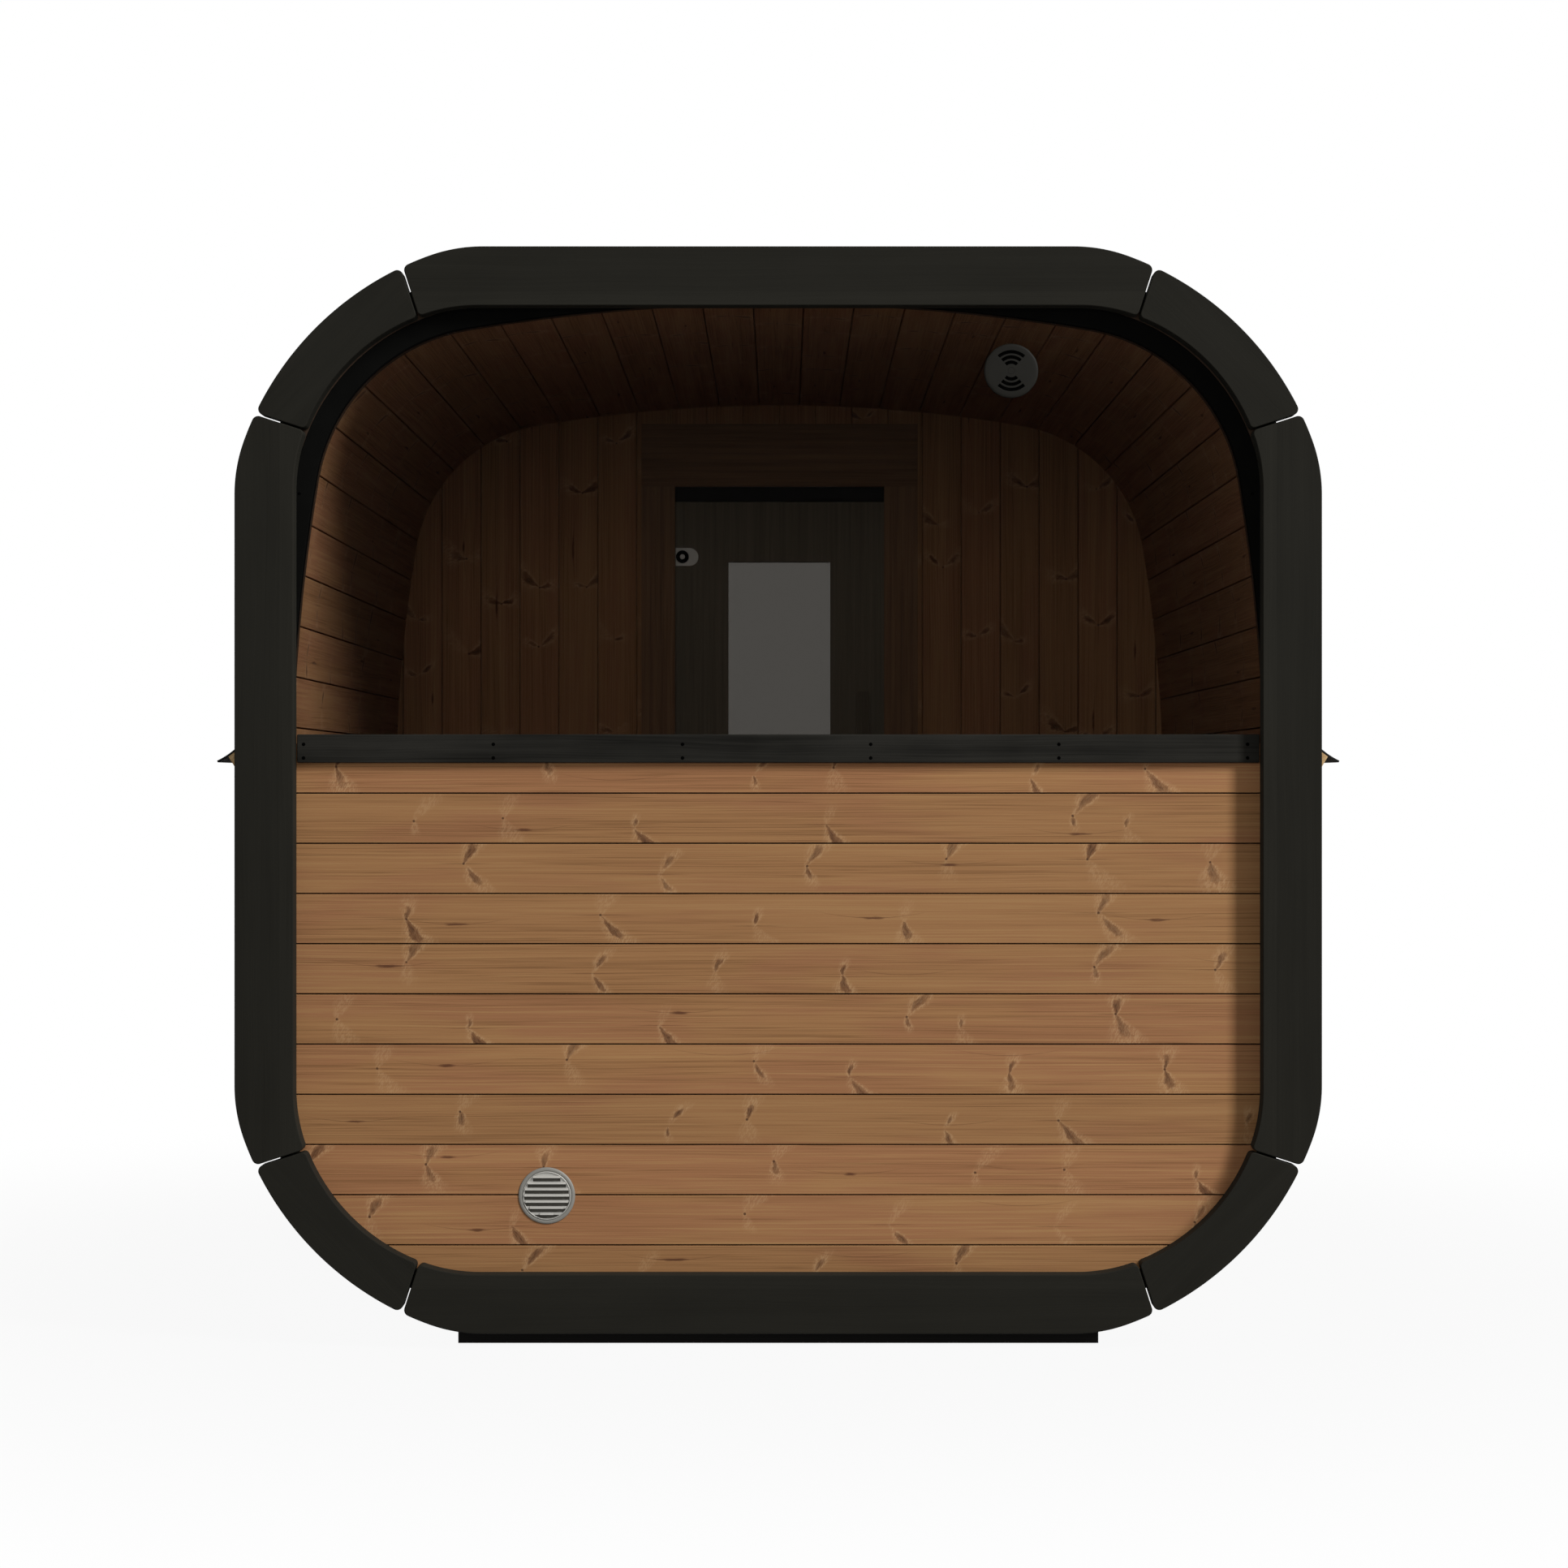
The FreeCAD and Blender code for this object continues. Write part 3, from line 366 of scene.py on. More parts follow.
def boardPaint(name, paintedShade=(1.0, 1.0, 1.0)):
    p = Paint(name)
    along, side, tone = p.board()
    seed = tone * 37.0

    # distance to the nearest cell's place along the board, and the three dice of that cell
    def cells(every, shift):
        run = along / every + seed + shift
        settings = {"voronoi_dimensions": "1D"}
        cell = p.node("ShaderNodeTexVoronoi", settings, W=run, Scale=1.0, Randomness=0.8)
        dice, middle = (Field(p.tree, cell.socket.node.outputs[name]) for name in ("Color", "W"))
        return (run - middle) * every, p.split(dice)

    # straight grain, a little wavy, with ring lines along one level of a noise
    wave = p.grain(along * 1.4 + seed, side * 5.0, tone * 9.0, 2.0)
    flow = side + (wave - 0.5) * 0.012
    fine = p.grain(along * 3.6 + seed, flow * 400.0, tone, 3.0, 0.6)
    ring = p.grain(along * 1.1 + seed, flow * 250.0, tone, 2.0)
    zone = p.grain(along * 1.0 + seed, flow * 26.0, tone, 3.0)
    cloud = p.grain(along * 3.0 + seed, side * 12.0, tone, 2.0)
    hair = p.grain(along * 5.0 + seed, side * 1300.0, tone, 2.0, 0.6)
    depth = fine * 0.48 + ring * 0.26 + zone * 0.26
    rings = (ring - 0.5).size().fade(0.008, 0.042) * zone.ramp(0.36, 0.56)

    # a whorl is a pith with an oval knot above it and one below, each leaning along the board
    local, dice = cells(timber["whorlEvery"], 0.0)
    pith = side - (dice[1] - 0.5) * 0.040
    up = pith.over(0.0)
    rise = pith.size()
    first = up * dice[0] + (1.0 - up) * dice[2]
    second = up * dice[1] + (1.0 - up) * (1.0 - dice[0])
    rough = p.grain(along * 95.0, side * 95.0, seed, 3.0, 0.6) - 0.5
    lean = 0.10 + first * 0.85
    bend = p.grain(along * 45.0, side * 45.0, seed + 3.0, 2.0) - 0.5
    slip = local - rise * lean + bend * 0.012
    long = 0.0085 + second * 0.0190
    wide = 0.0024 + rise * (0.12 + second * 0.28)
    knot = ((slip / wide) ** 2.0 + ((rise - 0.008 - first * 0.020) / long) ** 2.0) ** 0.5 + rough * 1.1
    there = (first * 7.13).math("FRACT").over(0.30)
    spot = knot.fade(0.70, 1.12) * there * (0.55 + (second * 5.31).math("FRACT") * 0.45)
    heart = (knot + slip * 30.0).fade(0.15, 0.80) * spot
    halo = knot.fade(0.9, 2.6) * there.atLeast(0.6)
    feather = p.grain(along * 420.0 - side * 160.0, side * 130.0, seed, 2.0)
    fibre = p.grain(slip * 900.0, rise * 90.0, seed, 2.0)
    eye = ((local * local + pith * pith) ** 0.5 + rough * 0.003).fade(0.0016, 0.0030)
    thread = (pith + rough * 0.002).size().fade(0.0003, 0.0014) * local.size().fade(0.01, 0.07)

    # resin scars: ragged lenses along the grain, with a long fine line from each
    scar, luck = cells(timber["resinEvery"], 11.3)
    level = side - (luck[1] - 0.5) * 0.060 - (scar * scar) * 1.1
    rag = p.grain(along * 45.0, side * 500.0, seed, 3.0) - 0.5
    taper = (scar.size() / (0.022 + luck[2] * 0.035)).fade(0.1, 1.0)
    lens = (level + rag * 0.006).size().fade(taper * 0.0010, taper * 0.0036 + 0.0001) * taper
    line = (level + rag * 0.0012).size().fade(0.0002, 0.0011) * (scar.size() / 0.13).fade(0.2, 1.0)

    # colours laid over each other in this order
    body = p.blend((cloud + tone * 0.24 - 0.12).ramp(0.40, 0.60), timber["body"], timber["rosy"])
    wood = p.blend(depth.fade(0.38, 0.51) * 0.8, body, timber["pale"])
    for share, colour in (
        (depth.ramp(0.51, 0.68) * 0.55, "dark"),
        (rings * 0.52, "dark"),
        (thread * dice[2].over(0.45) * 0.45, "resin"),
        (halo * (0.10 + feather.ramp(0.46, 0.58) * 0.38), "halo"),
        (spot * (0.72 + fibre.ramp(0.42, 0.62) * 0.26), "knot"),
        (heart * (0.40 + fibre.ramp(0.45, 0.60) * 0.45), "pith"),
        (eye * dice[1].over(0.35) * 0.85, "pith"),
        (lens * luck[0].over(0.52) * 0.9, "resin"),
        (line * luck[0].over(0.30) * 0.42, "resin"),
        (hair.ramp(0.62, 0.78) * 0.28, "dark"),
        (hair.fade(0.22, 0.36) * 0.25, "halo"),
    ):
        wood = p.blend(share, wood, timber[colour])
    # multiplied by a painted shade, which darkens and cools the lining inside the cabin
    wood = p.blend(1.0, p.gain(wood, 0.91 + tone * 0.13), paintedShade, "MULTIPLY")
    height = fine * 0.5 + hair * 0.3 + ring * 0.3 - spot * 0.25
    return p.surface(wood, 0.66 + zone * 0.12, 0.2, height, 0.0007, 0.5)


wallPaint = boardPaint("thermo boards")
# The lining is the same timber with painted shade: darker and cooler, as the inside of the cabin is dim
shadedLiningPaint = boardPaint("thermo lining with painted shade", (0.85, 0.87, 0.96))
print("timber ready")


# Stained timber reads the same pattern: grain along u, and a paler strip where v is below band, on boards
# of high tone
def stainPaint(name, base, spread, band=0.0, relief=0.35):
    p = Paint(name)
    along, side, tone = p.board()
    seed = tone * 23.0
    wave = p.grain(along * 1.5 + seed, side * 6.0, tone, 2.0)
    flow = side + (wave - 0.5) * 0.03
    broad = p.grain(along * 1.1 + seed, flow * 40.0, tone, 3.0)
    fine = p.grain(along * 3.0 + seed, flow * 380.0, tone, 3.0, 0.65)
    cloud = p.grain(along * 5.0 + seed, side * 14.0, tone, 3.0)
    level = broad * 0.34 + fine * 0.36 + cloud * 0.30
    low, high = shades(base, spread)
    colour = p.colours(level, (0.34, low), (0.50, base), (0.68, high))
    if band:
        inner = side.fade(band - 0.0006, band + 0.0006) * tone.over(0.5)
        colour = p.gain(colour, 1.0 + inner * 0.13)
    return p.surface(colour, 0.55 + fine * 0.14, 0.03, fine * 0.7 + broad * 0.3, 0.0008, relief)


framePaint = stainPaint("black stain", srgb(33, 32, 28), 0.16, 0.026)
railPaint = stainPaint("rail stain", srgb(35, 34, 31), 0.62, relief=0.6)


# Pieces with no pattern read the object's own coordinates
def laidPaint(name, light, dark, run="y", rough=0.6, gloss=0.2):
    p = Paint(name)
    x, y, z = p.split(p.place())
    stretch = {"x": (2.0, 120.0, 120.0), "y": (120.0, 2.0, 120.0), "z": (120.0, 120.0, 2.0)}[run]
    near = p.join(x * stretch[0], y * stretch[1], z * stretch[2])
    ring = p.noise(near, 0.8, 3.0, 0.6)
    fine = p.noise(near, 3.5, 2.0)
    colour = p.colours(ring * 0.65 + fine * 0.35, (0.32, srgb(*light)), (0.68, srgb(*dark)))
    return p.surface(colour, rough + fine * 0.1, gloss, ring * 0.6 + fine * 0.4, 0.0006, 0.4)


# The plates behind the board joints are dark timber as painted shade, so the joints read dark
tongueShadePaint = laidPaint("tongue timber with painted shade", (46, 29, 17), (32, 20, 12), "x")

# Roof felt: gritty, with streaks down the slope
p = Paint("roof felt")
x, y, z = p.split(p.place())
grit = p.noise(p.place(), 900.0, 2.0, 0.7)
cloud = p.noise(p.place(), 3.0, 4.0, 0.6)
streak = p.grain(x * 2.0, y * 22.0, z * 2.0, 3.0)
level = grit * 0.5 + cloud * 0.3 + streak * 0.2
low, middle, high = srgb(20, 20, 20), srgb(33, 33, 32), srgb(60, 59, 57)
colour = p.colours(level, (0.35, low), (0.55, middle), (0.72, high))
roofPaint = p.surface(colour, 0.86 + cloud * 0.1, 0.15, grit, 0.0009, 0.5)


def coatPaint(name, base, rough, metal=0.0, grain=900.0, wear=0.12, gloss=0.25):
    p = Paint(name)
    peel = p.noise(p.place(), grain, 2.0, 0.6)
    cloud = p.noise(p.place(), 14.0, 3.0, 0.6)
    low, high = shades(base, wear)
    colour = p.colours(cloud, (0.3, low), (0.7, high))
    return p.surface(colour, rough + cloud * 0.12, gloss, peel, 0.0003, 0.25, metal)


surroundPaint = coatPaint("surround coat", srgb(14, 14, 13), 0.7, gloss=0.005)
gasketPaint = coatPaint("gasket rubber", srgb(5, 5, 5), 0.8, gloss=0.02)
ventPaint = coatPaint("vent plastic", srgb(26, 25, 22), 0.5, gloss=0.08)
screwPaint = coatPaint("black screw", srgb(4, 4, 4), 0.7, gloss=0.0)
# Copies of the louvre's aluminium: pressed on the flange, a lighter one as painted highlight on the bead,
# field and blades, and a darker one as painted shade on the screen behind the slots
louvrePaint = coatPaint("pressed aluminium", srgb(124, 122, 116), 0.45, 0.2, 1200.0, 0.05, 0.4)
litAluminiumPaint = coatPaint("aluminium with painted highlight", srgb(172, 170, 164), 0.4, 0.2, 1200.0, 0.04, 0.4)
shadedScreenPaint = coatPaint("shaded aluminium", srgb(104, 101, 94), 0.6, 0.0, 1200.0, 0.1, 0.2)


# Black insect mesh: wires at a fine pitch both ways, seen as relief on a dark sheet. Its near-black colour
# is also painted shade, so the vent's slots read dark.
p = Paint("insect mesh with painted shade")
x, y, z = p.split(p.place())
weave = (x * 4200.0).math("SINE") * (z * 4200.0).math("SINE")
dust = p.noise(p.place(), 60.0, 3.0)
colour = p.colours(dust, (0.3, srgb(6, 6, 6)), (0.7, srgb(13, 12, 11)))
screenPaint = p.surface(colour, 0.7 + dust * 0.2, 0.05, weave, 0.0003, 0.4)


# A pane is a closed sheet, so its tint is met twice. It mirrors a little at a slant.
def panePaint(name, tint, mirror):
    p = Paint(name)
    haze = p.noise(p.place(), 2.5, 2.0)
    clear = p.node("ShaderNodeBsdfTransparent", Color=tint)
    shine = p.node("ShaderNodeBsdfGlossy", Color=(0.9, 0.92, 0.95), Roughness=0.02 + haze * 0.02)
    slant = p.node("ShaderNodeFresnel", IOR=1.5)
    return p.finish(p.mixShader(slant * mirror, clear, shine))


print("finishes ready")


# Facade frames: eight boards each. An outline is straight, then an end arc, then a corner arc
# that crosses the diagonal square on and a lap inside the shell's outer face.
facade = {
    "half": 1.030, "band": 0.112, "cornerLap": 0.015, "cornerBand": 0.0895,
    "endOuter": 0.300, "endInner": 0.315, "sweepOuter": 20.0, "sweepInner": 21.0,
    "jointAngle": 18.0, "jointGap": 0.0038, "roundOuter": 0.012, "roundInner": 0.009,
    "ease": 0.0020, "toneSpread": 0.45, "straightTone": 0.52, "patternSpread": 20,
}
rootTwo = math.sqrt(2)


def cornerArc(half, diagonal, end, sweep):
    turn = math.radians(sweep)
    grow = (rootTwo * (half - end) + end - diagonal) / (rootTwo * math.cos(turn) - 1)
    flat = half - end - grow * (math.cos(turn) - math.sin(turn))
    middle = flat - grow * math.sin(turn)
    return end + grow, np.array([middle, middle]), np.array([flat, half - end])


def crossing(start, run, middle, radius):
    gap = start - middle
    along = gap @ run
    return start + run * (math.sqrt(along ** 2 - gap @ gap + radius ** 2) - along)


def angleOf(middle, point):
    return math.degrees(math.atan2(point[1] - middle[1], point[0] - middle[0]))


def rounded(before, corner, after, radius):
    toBefore, toAfter = unit(before - corner), unit(after - corner)
    half = math.acos(np.clip(toBefore @ toAfter, -1, 1)) / 2
    middle = corner + unit(toBefore + toAfter) * radius / math.sin(half)
    start = angleOf(middle, corner + toBefore * radius / math.tan(half))
    stop = angleOf(middle, corner + toAfter * radius / math.tan(half))
    stop += 360 * ((stop - start < -180) - (stop - start > 180))
    return arcPoints(middle, radius, start, stop, 12.0)


innerHalf = facade["half"] - facade["band"]
innerDiagonal = rootTwo * cornerCentre + cabin["cornerRadius"] + outside - facade["cornerLap"]
outerRadius, outerMiddle, outerEnd = cornerArc(
    facade["half"], innerDiagonal + facade["cornerBand"], facade["endOuter"], facade["sweepOuter"])
innerRadius, innerMiddle, innerEnd = cornerArc(
    innerHalf, innerDiagonal, facade["endInner"], facade["sweepInner"])
jointTurn = math.radians(facade["jointAngle"])
jointRun = np.array([math.sin(jointTurn), math.cos(jointTurn)])
jointSide = np.array([jointRun[1], -jointRun[0]]) * facade["jointGap"] / 2
jointRoot = arcPoints(innerEnd, facade["endInner"], 90 - facade["sweepInner"], 90)[0]
jointRoot = jointRoot - jointRun * facade["band"] / 2


# Both edges of a board as they come to a joint, with the joint's two corners rounded
def jointEnd(outer, inner, low, high):
    outer = outer[np.linalg.norm(outer - high, axis=1) > facade["roundOuter"] * 1.3]
    inner = inner[np.linalg.norm(inner - low, axis=1) > facade["roundInner"] * 1.3]
    return chain(
        inner,
        rounded(inner[-1], low, high, facade["roundInner"]),
        rounded(low, high, outer[0], facade["roundOuter"]),
        outer,
    )


# A straight board is mirrored about its middle, and a corner board about its diagonal
def frameBoard(corner):
    middle, radius = (innerMiddle, innerRadius) if corner else (innerEnd, facade["endInner"])
    root = jointRoot + jointSide * (1 if corner else -1)
    low = crossing(root, jointRun, middle, radius)
    high = crossing(root, jointRun, outerMiddle, outerRadius)
    start, stop = angleOf(outerMiddle, high), 45 if corner else 90 - facade["sweepOuter"]
    outer = arcPoints(outerMiddle, outerRadius, start, stop, 1.0 if corner else 0.5)
    if not corner:
        outer = chain(outer, arcPoints(outerEnd, facade["endOuter"], stop, 90, 1.5))
    inner = arcPoints(middle, radius, 45 if corner else 90, angleOf(middle, low), 1.5)
    edge = jointEnd(outer, inner, low, high)
    return np.concatenate([edge[1:-1], edge[::-1][:, ::-1]] if corner else [edge, edge[::-1] * [-1, 1]])


def facadePattern(spin, corner, shift):
    def pattern(points, depth):
        flat = points @ spin.T
        if corner:
            flat = np.column_stack([flat[:, 0] - flat[:, 1], flat[:, 0] + flat[:, 1]]) / rootTwo
        return flat - [shift, innerDiagonal if corner else innerHalf]
    return pattern


sideNames = ("top", "right", "bottom", "left")
cornerNames = ("corner_upper_right", "corner_lower_right", "corner_lower_left", "corner_upper_left")
for face, low in (("rear", -frameFace), ("front", wallFace)):
    for quarter in range(4):
        spin = quarterTurn(quarter)
        for corner, labels in ((False, sideNames), (True, cornerNames)):
            tone = random.uniform(0.0, facade["toneSpread"]) + (0.0 if corner else facade["straightTone"])
            pattern = facadePattern(spin, corner, random.uniform(0, facade["patternSpread"]))
            board = single(
                f"{face}_{labels[quarter]}_board", "stained_timber", framePaint, frameBoard(corner) @ spin,
                low, low + cabin["frameThick"], facade["ease"], 3, pattern, tone)
            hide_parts(f"{face}_frame_{labels[quarter]}")

# Short battens behind the joints, outside the shell and clear of the roof sheet
batten = {
    "near": 0.0424, "nearRoof": 0.0475, "far": 0.0810, "middle": 68.0, "half": 4.2, "thick": 0.010,
    "tone": 0.2, "ease": 0.0010,
}
battens = Stack()
for quarter in range(4):
    near = batten["nearRoof"] if quarter in (0, 3) else batten["near"]
    for middle in (batten["middle"], 90 - batten["middle"]):
        ends = (middle - batten["half"], middle + batten["half"])
        inner, outer = (arcPoints(cornerMiddle, cabin["cornerRadius"] + reach, *ends)
                        for reach in (near, batten["far"]))
        outline = np.concatenate([inner, outer[::-1]]) @ quarterTurn(quarter)
        for low in (-wallFace, wallFace - batten["thick"]):
            battens.prism(outline, low, low + batten["thick"], tone=batten["tone"])
battens.build("joint_battens", "stained_timber", framePaint, batten["ease"])
print("facade frames ready")


# Window wall: level boards below the sill, and plates behind their joints. The louvre's hole
# falls on a joint, so each board beside it has part of the circle cut out.
wallBoards = {
    "sill": 0.090, "firstJoint": -0.006, "pitch": 0.0957, "gap": 0.0024, "ease": 0.0013,
    "tongue": 0.010, "holeX": -0.441, "holeLevel": -0.773, "holeRadius": 0.047,
    "footGap": 0.0003, "plateInset": 0.003, "patternSpread": 40,
}
footReach = cabin["shellHalf"] + outside - wallBoards["footGap"]
plateInset = wallBoards["plateInset"]
hole = np.array([wallBoards["holeX"], wallBoards["holeLevel"]])


# Points of the hole's circle on one side (1 above, -1 below) of a level, left to right
def notch(level, side):
    rise = level - hole[1]
    if abs(rise) >= wallBoards["holeRadius"]:
        return np.empty((0, 2))
    start = math.degrees(math.asin(rise / wallBoards["holeRadius"]))
    return arcPoints(hole, wallBoards["holeRadius"], 180 * side - start, start, 6.0)


def levelBoard(low, high, offset, samples=12):
    levels = np.linspace(low, high, samples)
    reach = shellReach(levels, offset)
    right = np.column_stack([reach, levels])
    left = np.column_stack([-reach, levels])[::-1]
    return np.concatenate([right, notch(high, -1)[::-1], left, notch(low, 1)])


def levelPattern(middle, shift):
    return lambda points, depth: points + [shift, -middle]


def uprightPattern(middle, shift):
    return lambda points, depth: np.column_stack([points[:, 1] + shift, points[:, 0] - middle])


def anyShift():
    return random.uniform(0, wallBoards["patternSpread"])


firstJoint, pitch = wallBoards["firstJoint"], wallBoards["pitch"]
joints = [wallBoards["sill"], *np.arange(firstJoint, -footReach + 0.02, -pitch), -footReach]
stack, tongues = Stack(), Stack()
tongueLow = -(wallFace + wallBack + wallBoards["tongue"]) / 2
half = wallBoards["gap"] / 2
for high, low in zip(joints[:-1], joints[1:]):
    pattern = levelPattern((low + high) / 2, anyShift())
    outline = levelBoard(low + half, high - half, outside)
    stack.prism(outline, -wallFace, -wallBack, pattern, random.uniform())
beside = min(joints, key=lambda level: abs(level - hole[1]))
halves = [joints[-1] + plateInset, beside, joints[0] - plateInset]
for low, high in zip(halves[:-1], halves[1:]):
    plate = levelBoard(low, high, outside - plateInset, 60)
    tongues.prism(plate, tongueLow, tongueLow + wallBoards["tongue"])
rearBoards = stack.build("rear_boards", "thermo_timber", wallPaint, wallBoards["ease"])
tongues.build("rear_board_tongues", "thermo_timber", tongueShadePaint)
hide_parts("rear_wall_boards")
print("window wall boards ready")


# Door wall: upright boards round the doorway. The plates over and under it reach out to close
# the joints to the side panels.
doorway = {
    "half": 0.2675, "sill": -0.886, "top": 0.744, "firstJoint": 0.352, "pitch": 0.096,
    "platePlace": 0.016, "plateThick": 0.010, "middleInset": -0.0028,
}


def uprightBoard(left, right, low, high, offset, samples=9):
    xs = np.linspace(left, right, samples)
    reach = shellReach(xs, offset)
    top = np.column_stack([xs, np.minimum(reach, high)])
    foot = np.column_stack([xs, np.maximum(-reach, low)])
    return np.concatenate([foot, top[::-1]])


sideEdges = [doorway["half"], *(doorway["firstJoint"] + k * doorway["pitch"] for k in range(7)), footReach]
middleEdges = np.linspace(-doorway["half"], doorway["half"], 7)
panels = {
    "front_wall_right": (sideEdges, -math.inf, math.inf, plateInset),
    "front_wall_left": ([-edge for edge in sideEdges[::-1]], -math.inf, math.inf, plateInset),
    "front_wall_over_door": (middleEdges, doorway["top"], math.inf, doorway["middleInset"]),
    "front_wall_under_door": (middleEdges, -math.inf, doorway["sill"], doorway["middleInset"]),
}
plateLow = wallBack + doorway["platePlace"]
for node, (edges, low, high, inset) in panels.items():
    stack = Stack()
    for left, right in zip(edges[:-1], edges[1:]):
        pattern = uprightPattern((left + right) / 2, anyShift())
        outline = uprightBoard(left + half, right - half, low, high, outside)
        stack.prism(outline, wallBack, wallFace, pattern, random.uniform())
    ends = (edges[0] + inset, edges[-1] - inset, low + plateInset, high - plateInset)
    plate = uprightBoard(*ends, outside - plateInset, 40)
    stack.prism(plate, plateLow, plateLow + doorway["plateThick"])
    wall = stack.build(node + "_boards", "thermo_timber", shadedLiningPaint, wallBoards["ease"])
    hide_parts(node)
print("door wall boards ready")


# Shell: staves side by side round the outline. Points are found by their run along the inner
# face, and the normal there carries them out through the thickness.
staves = {
    "pitch": 0.100, "gap": 0.0024, "ease": 0.0018, "jointLevel": 0.122, "tongue": (0.018, 0.025),
    "tongueInset": 0.001,
}


# Number of the point nearest a level, on the right (side 1) or the left (side -1)
def nearest(points, level, side):
    return int(np.argmin(np.abs(points[:, 1] - level) + 9 * (points[:, 0] * side < 0)))


loop = shellLoop(0.0, 0.1, 0.5)
loop = np.roll(loop, -nearest(loop, staves["jointLevel"], 1), axis=0)
loop = np.concatenate([loop, loop, loop[:1]])
runs = np.concatenate([[0], np.cumsum(np.linalg.norm(np.diff(loop, axis=0), axis=1))])
around = runs[-1] / 2
tangent = np.gradient(loop, runs, axis=0)
normal = unit(np.column_stack([tangent[:, 1], -tangent[:, 0]]))


def onLoop(run, table):
    return np.column_stack([np.interp(run, runs, table[:, k]) for k in range(2)])


def staveOutline(first, last, near, far, samples=5):
    run = np.linspace(first, last, samples)
    base, out = onLoop(run, loop), onLoop(run, normal)
    return np.concatenate([base + out * near, (base + out * far)[::-1]])


def stavePattern(first, last, shift, samples=5):
    run = np.linspace(first, last, samples) - (first + last) / 2
    fold = np.concatenate([run, run[::-1]])
    return lambda points, depth: np.column_stack([np.full(len(points), depth + shift), fold])


def panelOf(run):
    x, y = onLoop(np.array([run]), loop)[0]
    reach = cabin["sideRadius"] * math.sin(joinAngle)
    if abs(y) < reach:
        return "shell_side_right" if x > 0 else "shell_side_left"
    if abs(x) < reach:
        return "shell_ceiling" if y > 0 else "shell_floor"
    return f"shell_corner_{'upper' if y > 0 else 'lower'}_{'right' if x > 0 else 'left'}"


# Joints lie level on both sides, so staves over the top and below are shared out apart
mirror = nearest(loop[:len(loop) // 2], loop[0, 1], -1)
overTop, below = runs[mirror], around - runs[mirror]
edges = np.concatenate([
    np.linspace(0, overTop, round(overTop / staves["pitch"]) + 1)[:-1],
    np.linspace(overTop, around, round(below / staves["pitch"]) + 1)[:-1],
])
staveCount = len(edges)
edges = np.concatenate([edges, edges + around, [2 * around]])
groups = {}
for number in range(staveCount):
    groups.setdefault(panelOf((edges[number] + edges[number + 1]) / 2), []).append(number)
for node, numbers in groups.items():
    if numbers[-1] - numbers[0] >= len(numbers):
        numbers = [n + staveCount if n < staveCount / 2 else n for n in numbers]
    numbers = sorted(numbers)
    stack = Stack()
    for number in numbers:
        first, last = edges[number] + staves["gap"] / 2, edges[number + 1] - staves["gap"] / 2
        outline = staveOutline(first, last, 0.0, outside)
        pattern = stavePattern(first, last, anyShift())
        stack.prism(outline, -wallBack, wallBack, pattern, random.uniform())
    first, last = edges[numbers[0]] + staves["tongueInset"], edges[numbers[-1] + 1] - staves["tongueInset"]
    core = staveOutline(first, last, *staves["tongue"], samples=len(numbers) * 5)
    stack.prism(core, -wallBack + staves["tongueInset"], wallBack - staves["tongueInset"])
    shell = stack.build(node + "_staves", "thermo_timber", shadedLiningPaint, staves["ease"])
    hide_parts(node)
print("shell ready:", staveCount, "staves")


# Roof felt: one skin from eave to eave, with a thin step where each sheet covers the one below
roof = {
    "under": 0.0423, "thick": 0.0040, "flareStart": 0.180, "flareRadius": 0.145, "flareSweep": 62.0,
    "ease": 0.0008, "lap": 0.0014, "lapLevels": (0.62, 0.90), "lapFrom": 0.0002, "lapRoot": 0.0005,
    "lapInset": 0.0004,
}
coverOut = roof["under"] + roof["thick"]
flareAngle = math.degrees(math.asin(roof["flareStart"] / (cabin["sideRadius"] + coverOut)))
turn = math.radians(flareAngle)
flareReach = cabin["sideRadius"] + coverOut + roof["flareRadius"]
flareMiddle = np.array([flareReach * math.cos(turn) - sideCentre, flareReach * math.sin(turn)])


# Right half of the roof's outline from the top middle to the tip of the flare
def roofEdge(offset, grow):
    side, corner = arcRadii(offset)
    flare = 180 + flareAngle
    return chain(
        arcPoints((0, -sideCentre), side, 90, 90 - joinDegrees, 0.5),
        arcPoints(cornerMiddle, corner, 90 - joinDegrees, joinDegrees, 2.0),
        arcPoints((-sideCentre, 0), side, joinDegrees, flareAngle, 0.5),
        arcPoints(flareMiddle, roof["flareRadius"] + grow, flare, flare + roof["flareSweep"], 3.0),
    )


top = roofEdge(coverOut, 0.0)
under = roofEdge(roof["under"], roof["thick"])
outline = np.concatenate([top, under[::-1], under[1:] * [-1, 1], top[::-1][:-1] * [-1, 1]])
felt = single("roof_felt", "roof_sheet", roofPaint, outline, -wallFace, wallFace, roof["ease"])
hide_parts("roof_cover_left", "roof_cover_top", "roof_cover_right")
laps = Stack()
for side in (-1, 1):
    for level in roof["lapLevels"]:
        edge = int(np.argmin(np.abs(top[:, 1] - level)))
        strip = top[max(edge - 6, 0):edge + 1]
        out = unit(strip - cornerMiddle)
        lift = np.linspace(roof["lapFrom"], roof["lap"], len(strip))[:, None]
        outline = np.concatenate([strip + out * lift, (strip - out * roof["lapRoot"])[::-1]]) * [side, 1]
        laps.prism(outline, -wallFace + roof["lapInset"], wallFace - roof["lapInset"])
laps.build("roof_laps", "roof_sheet", roofPaint)
print("roof ready")


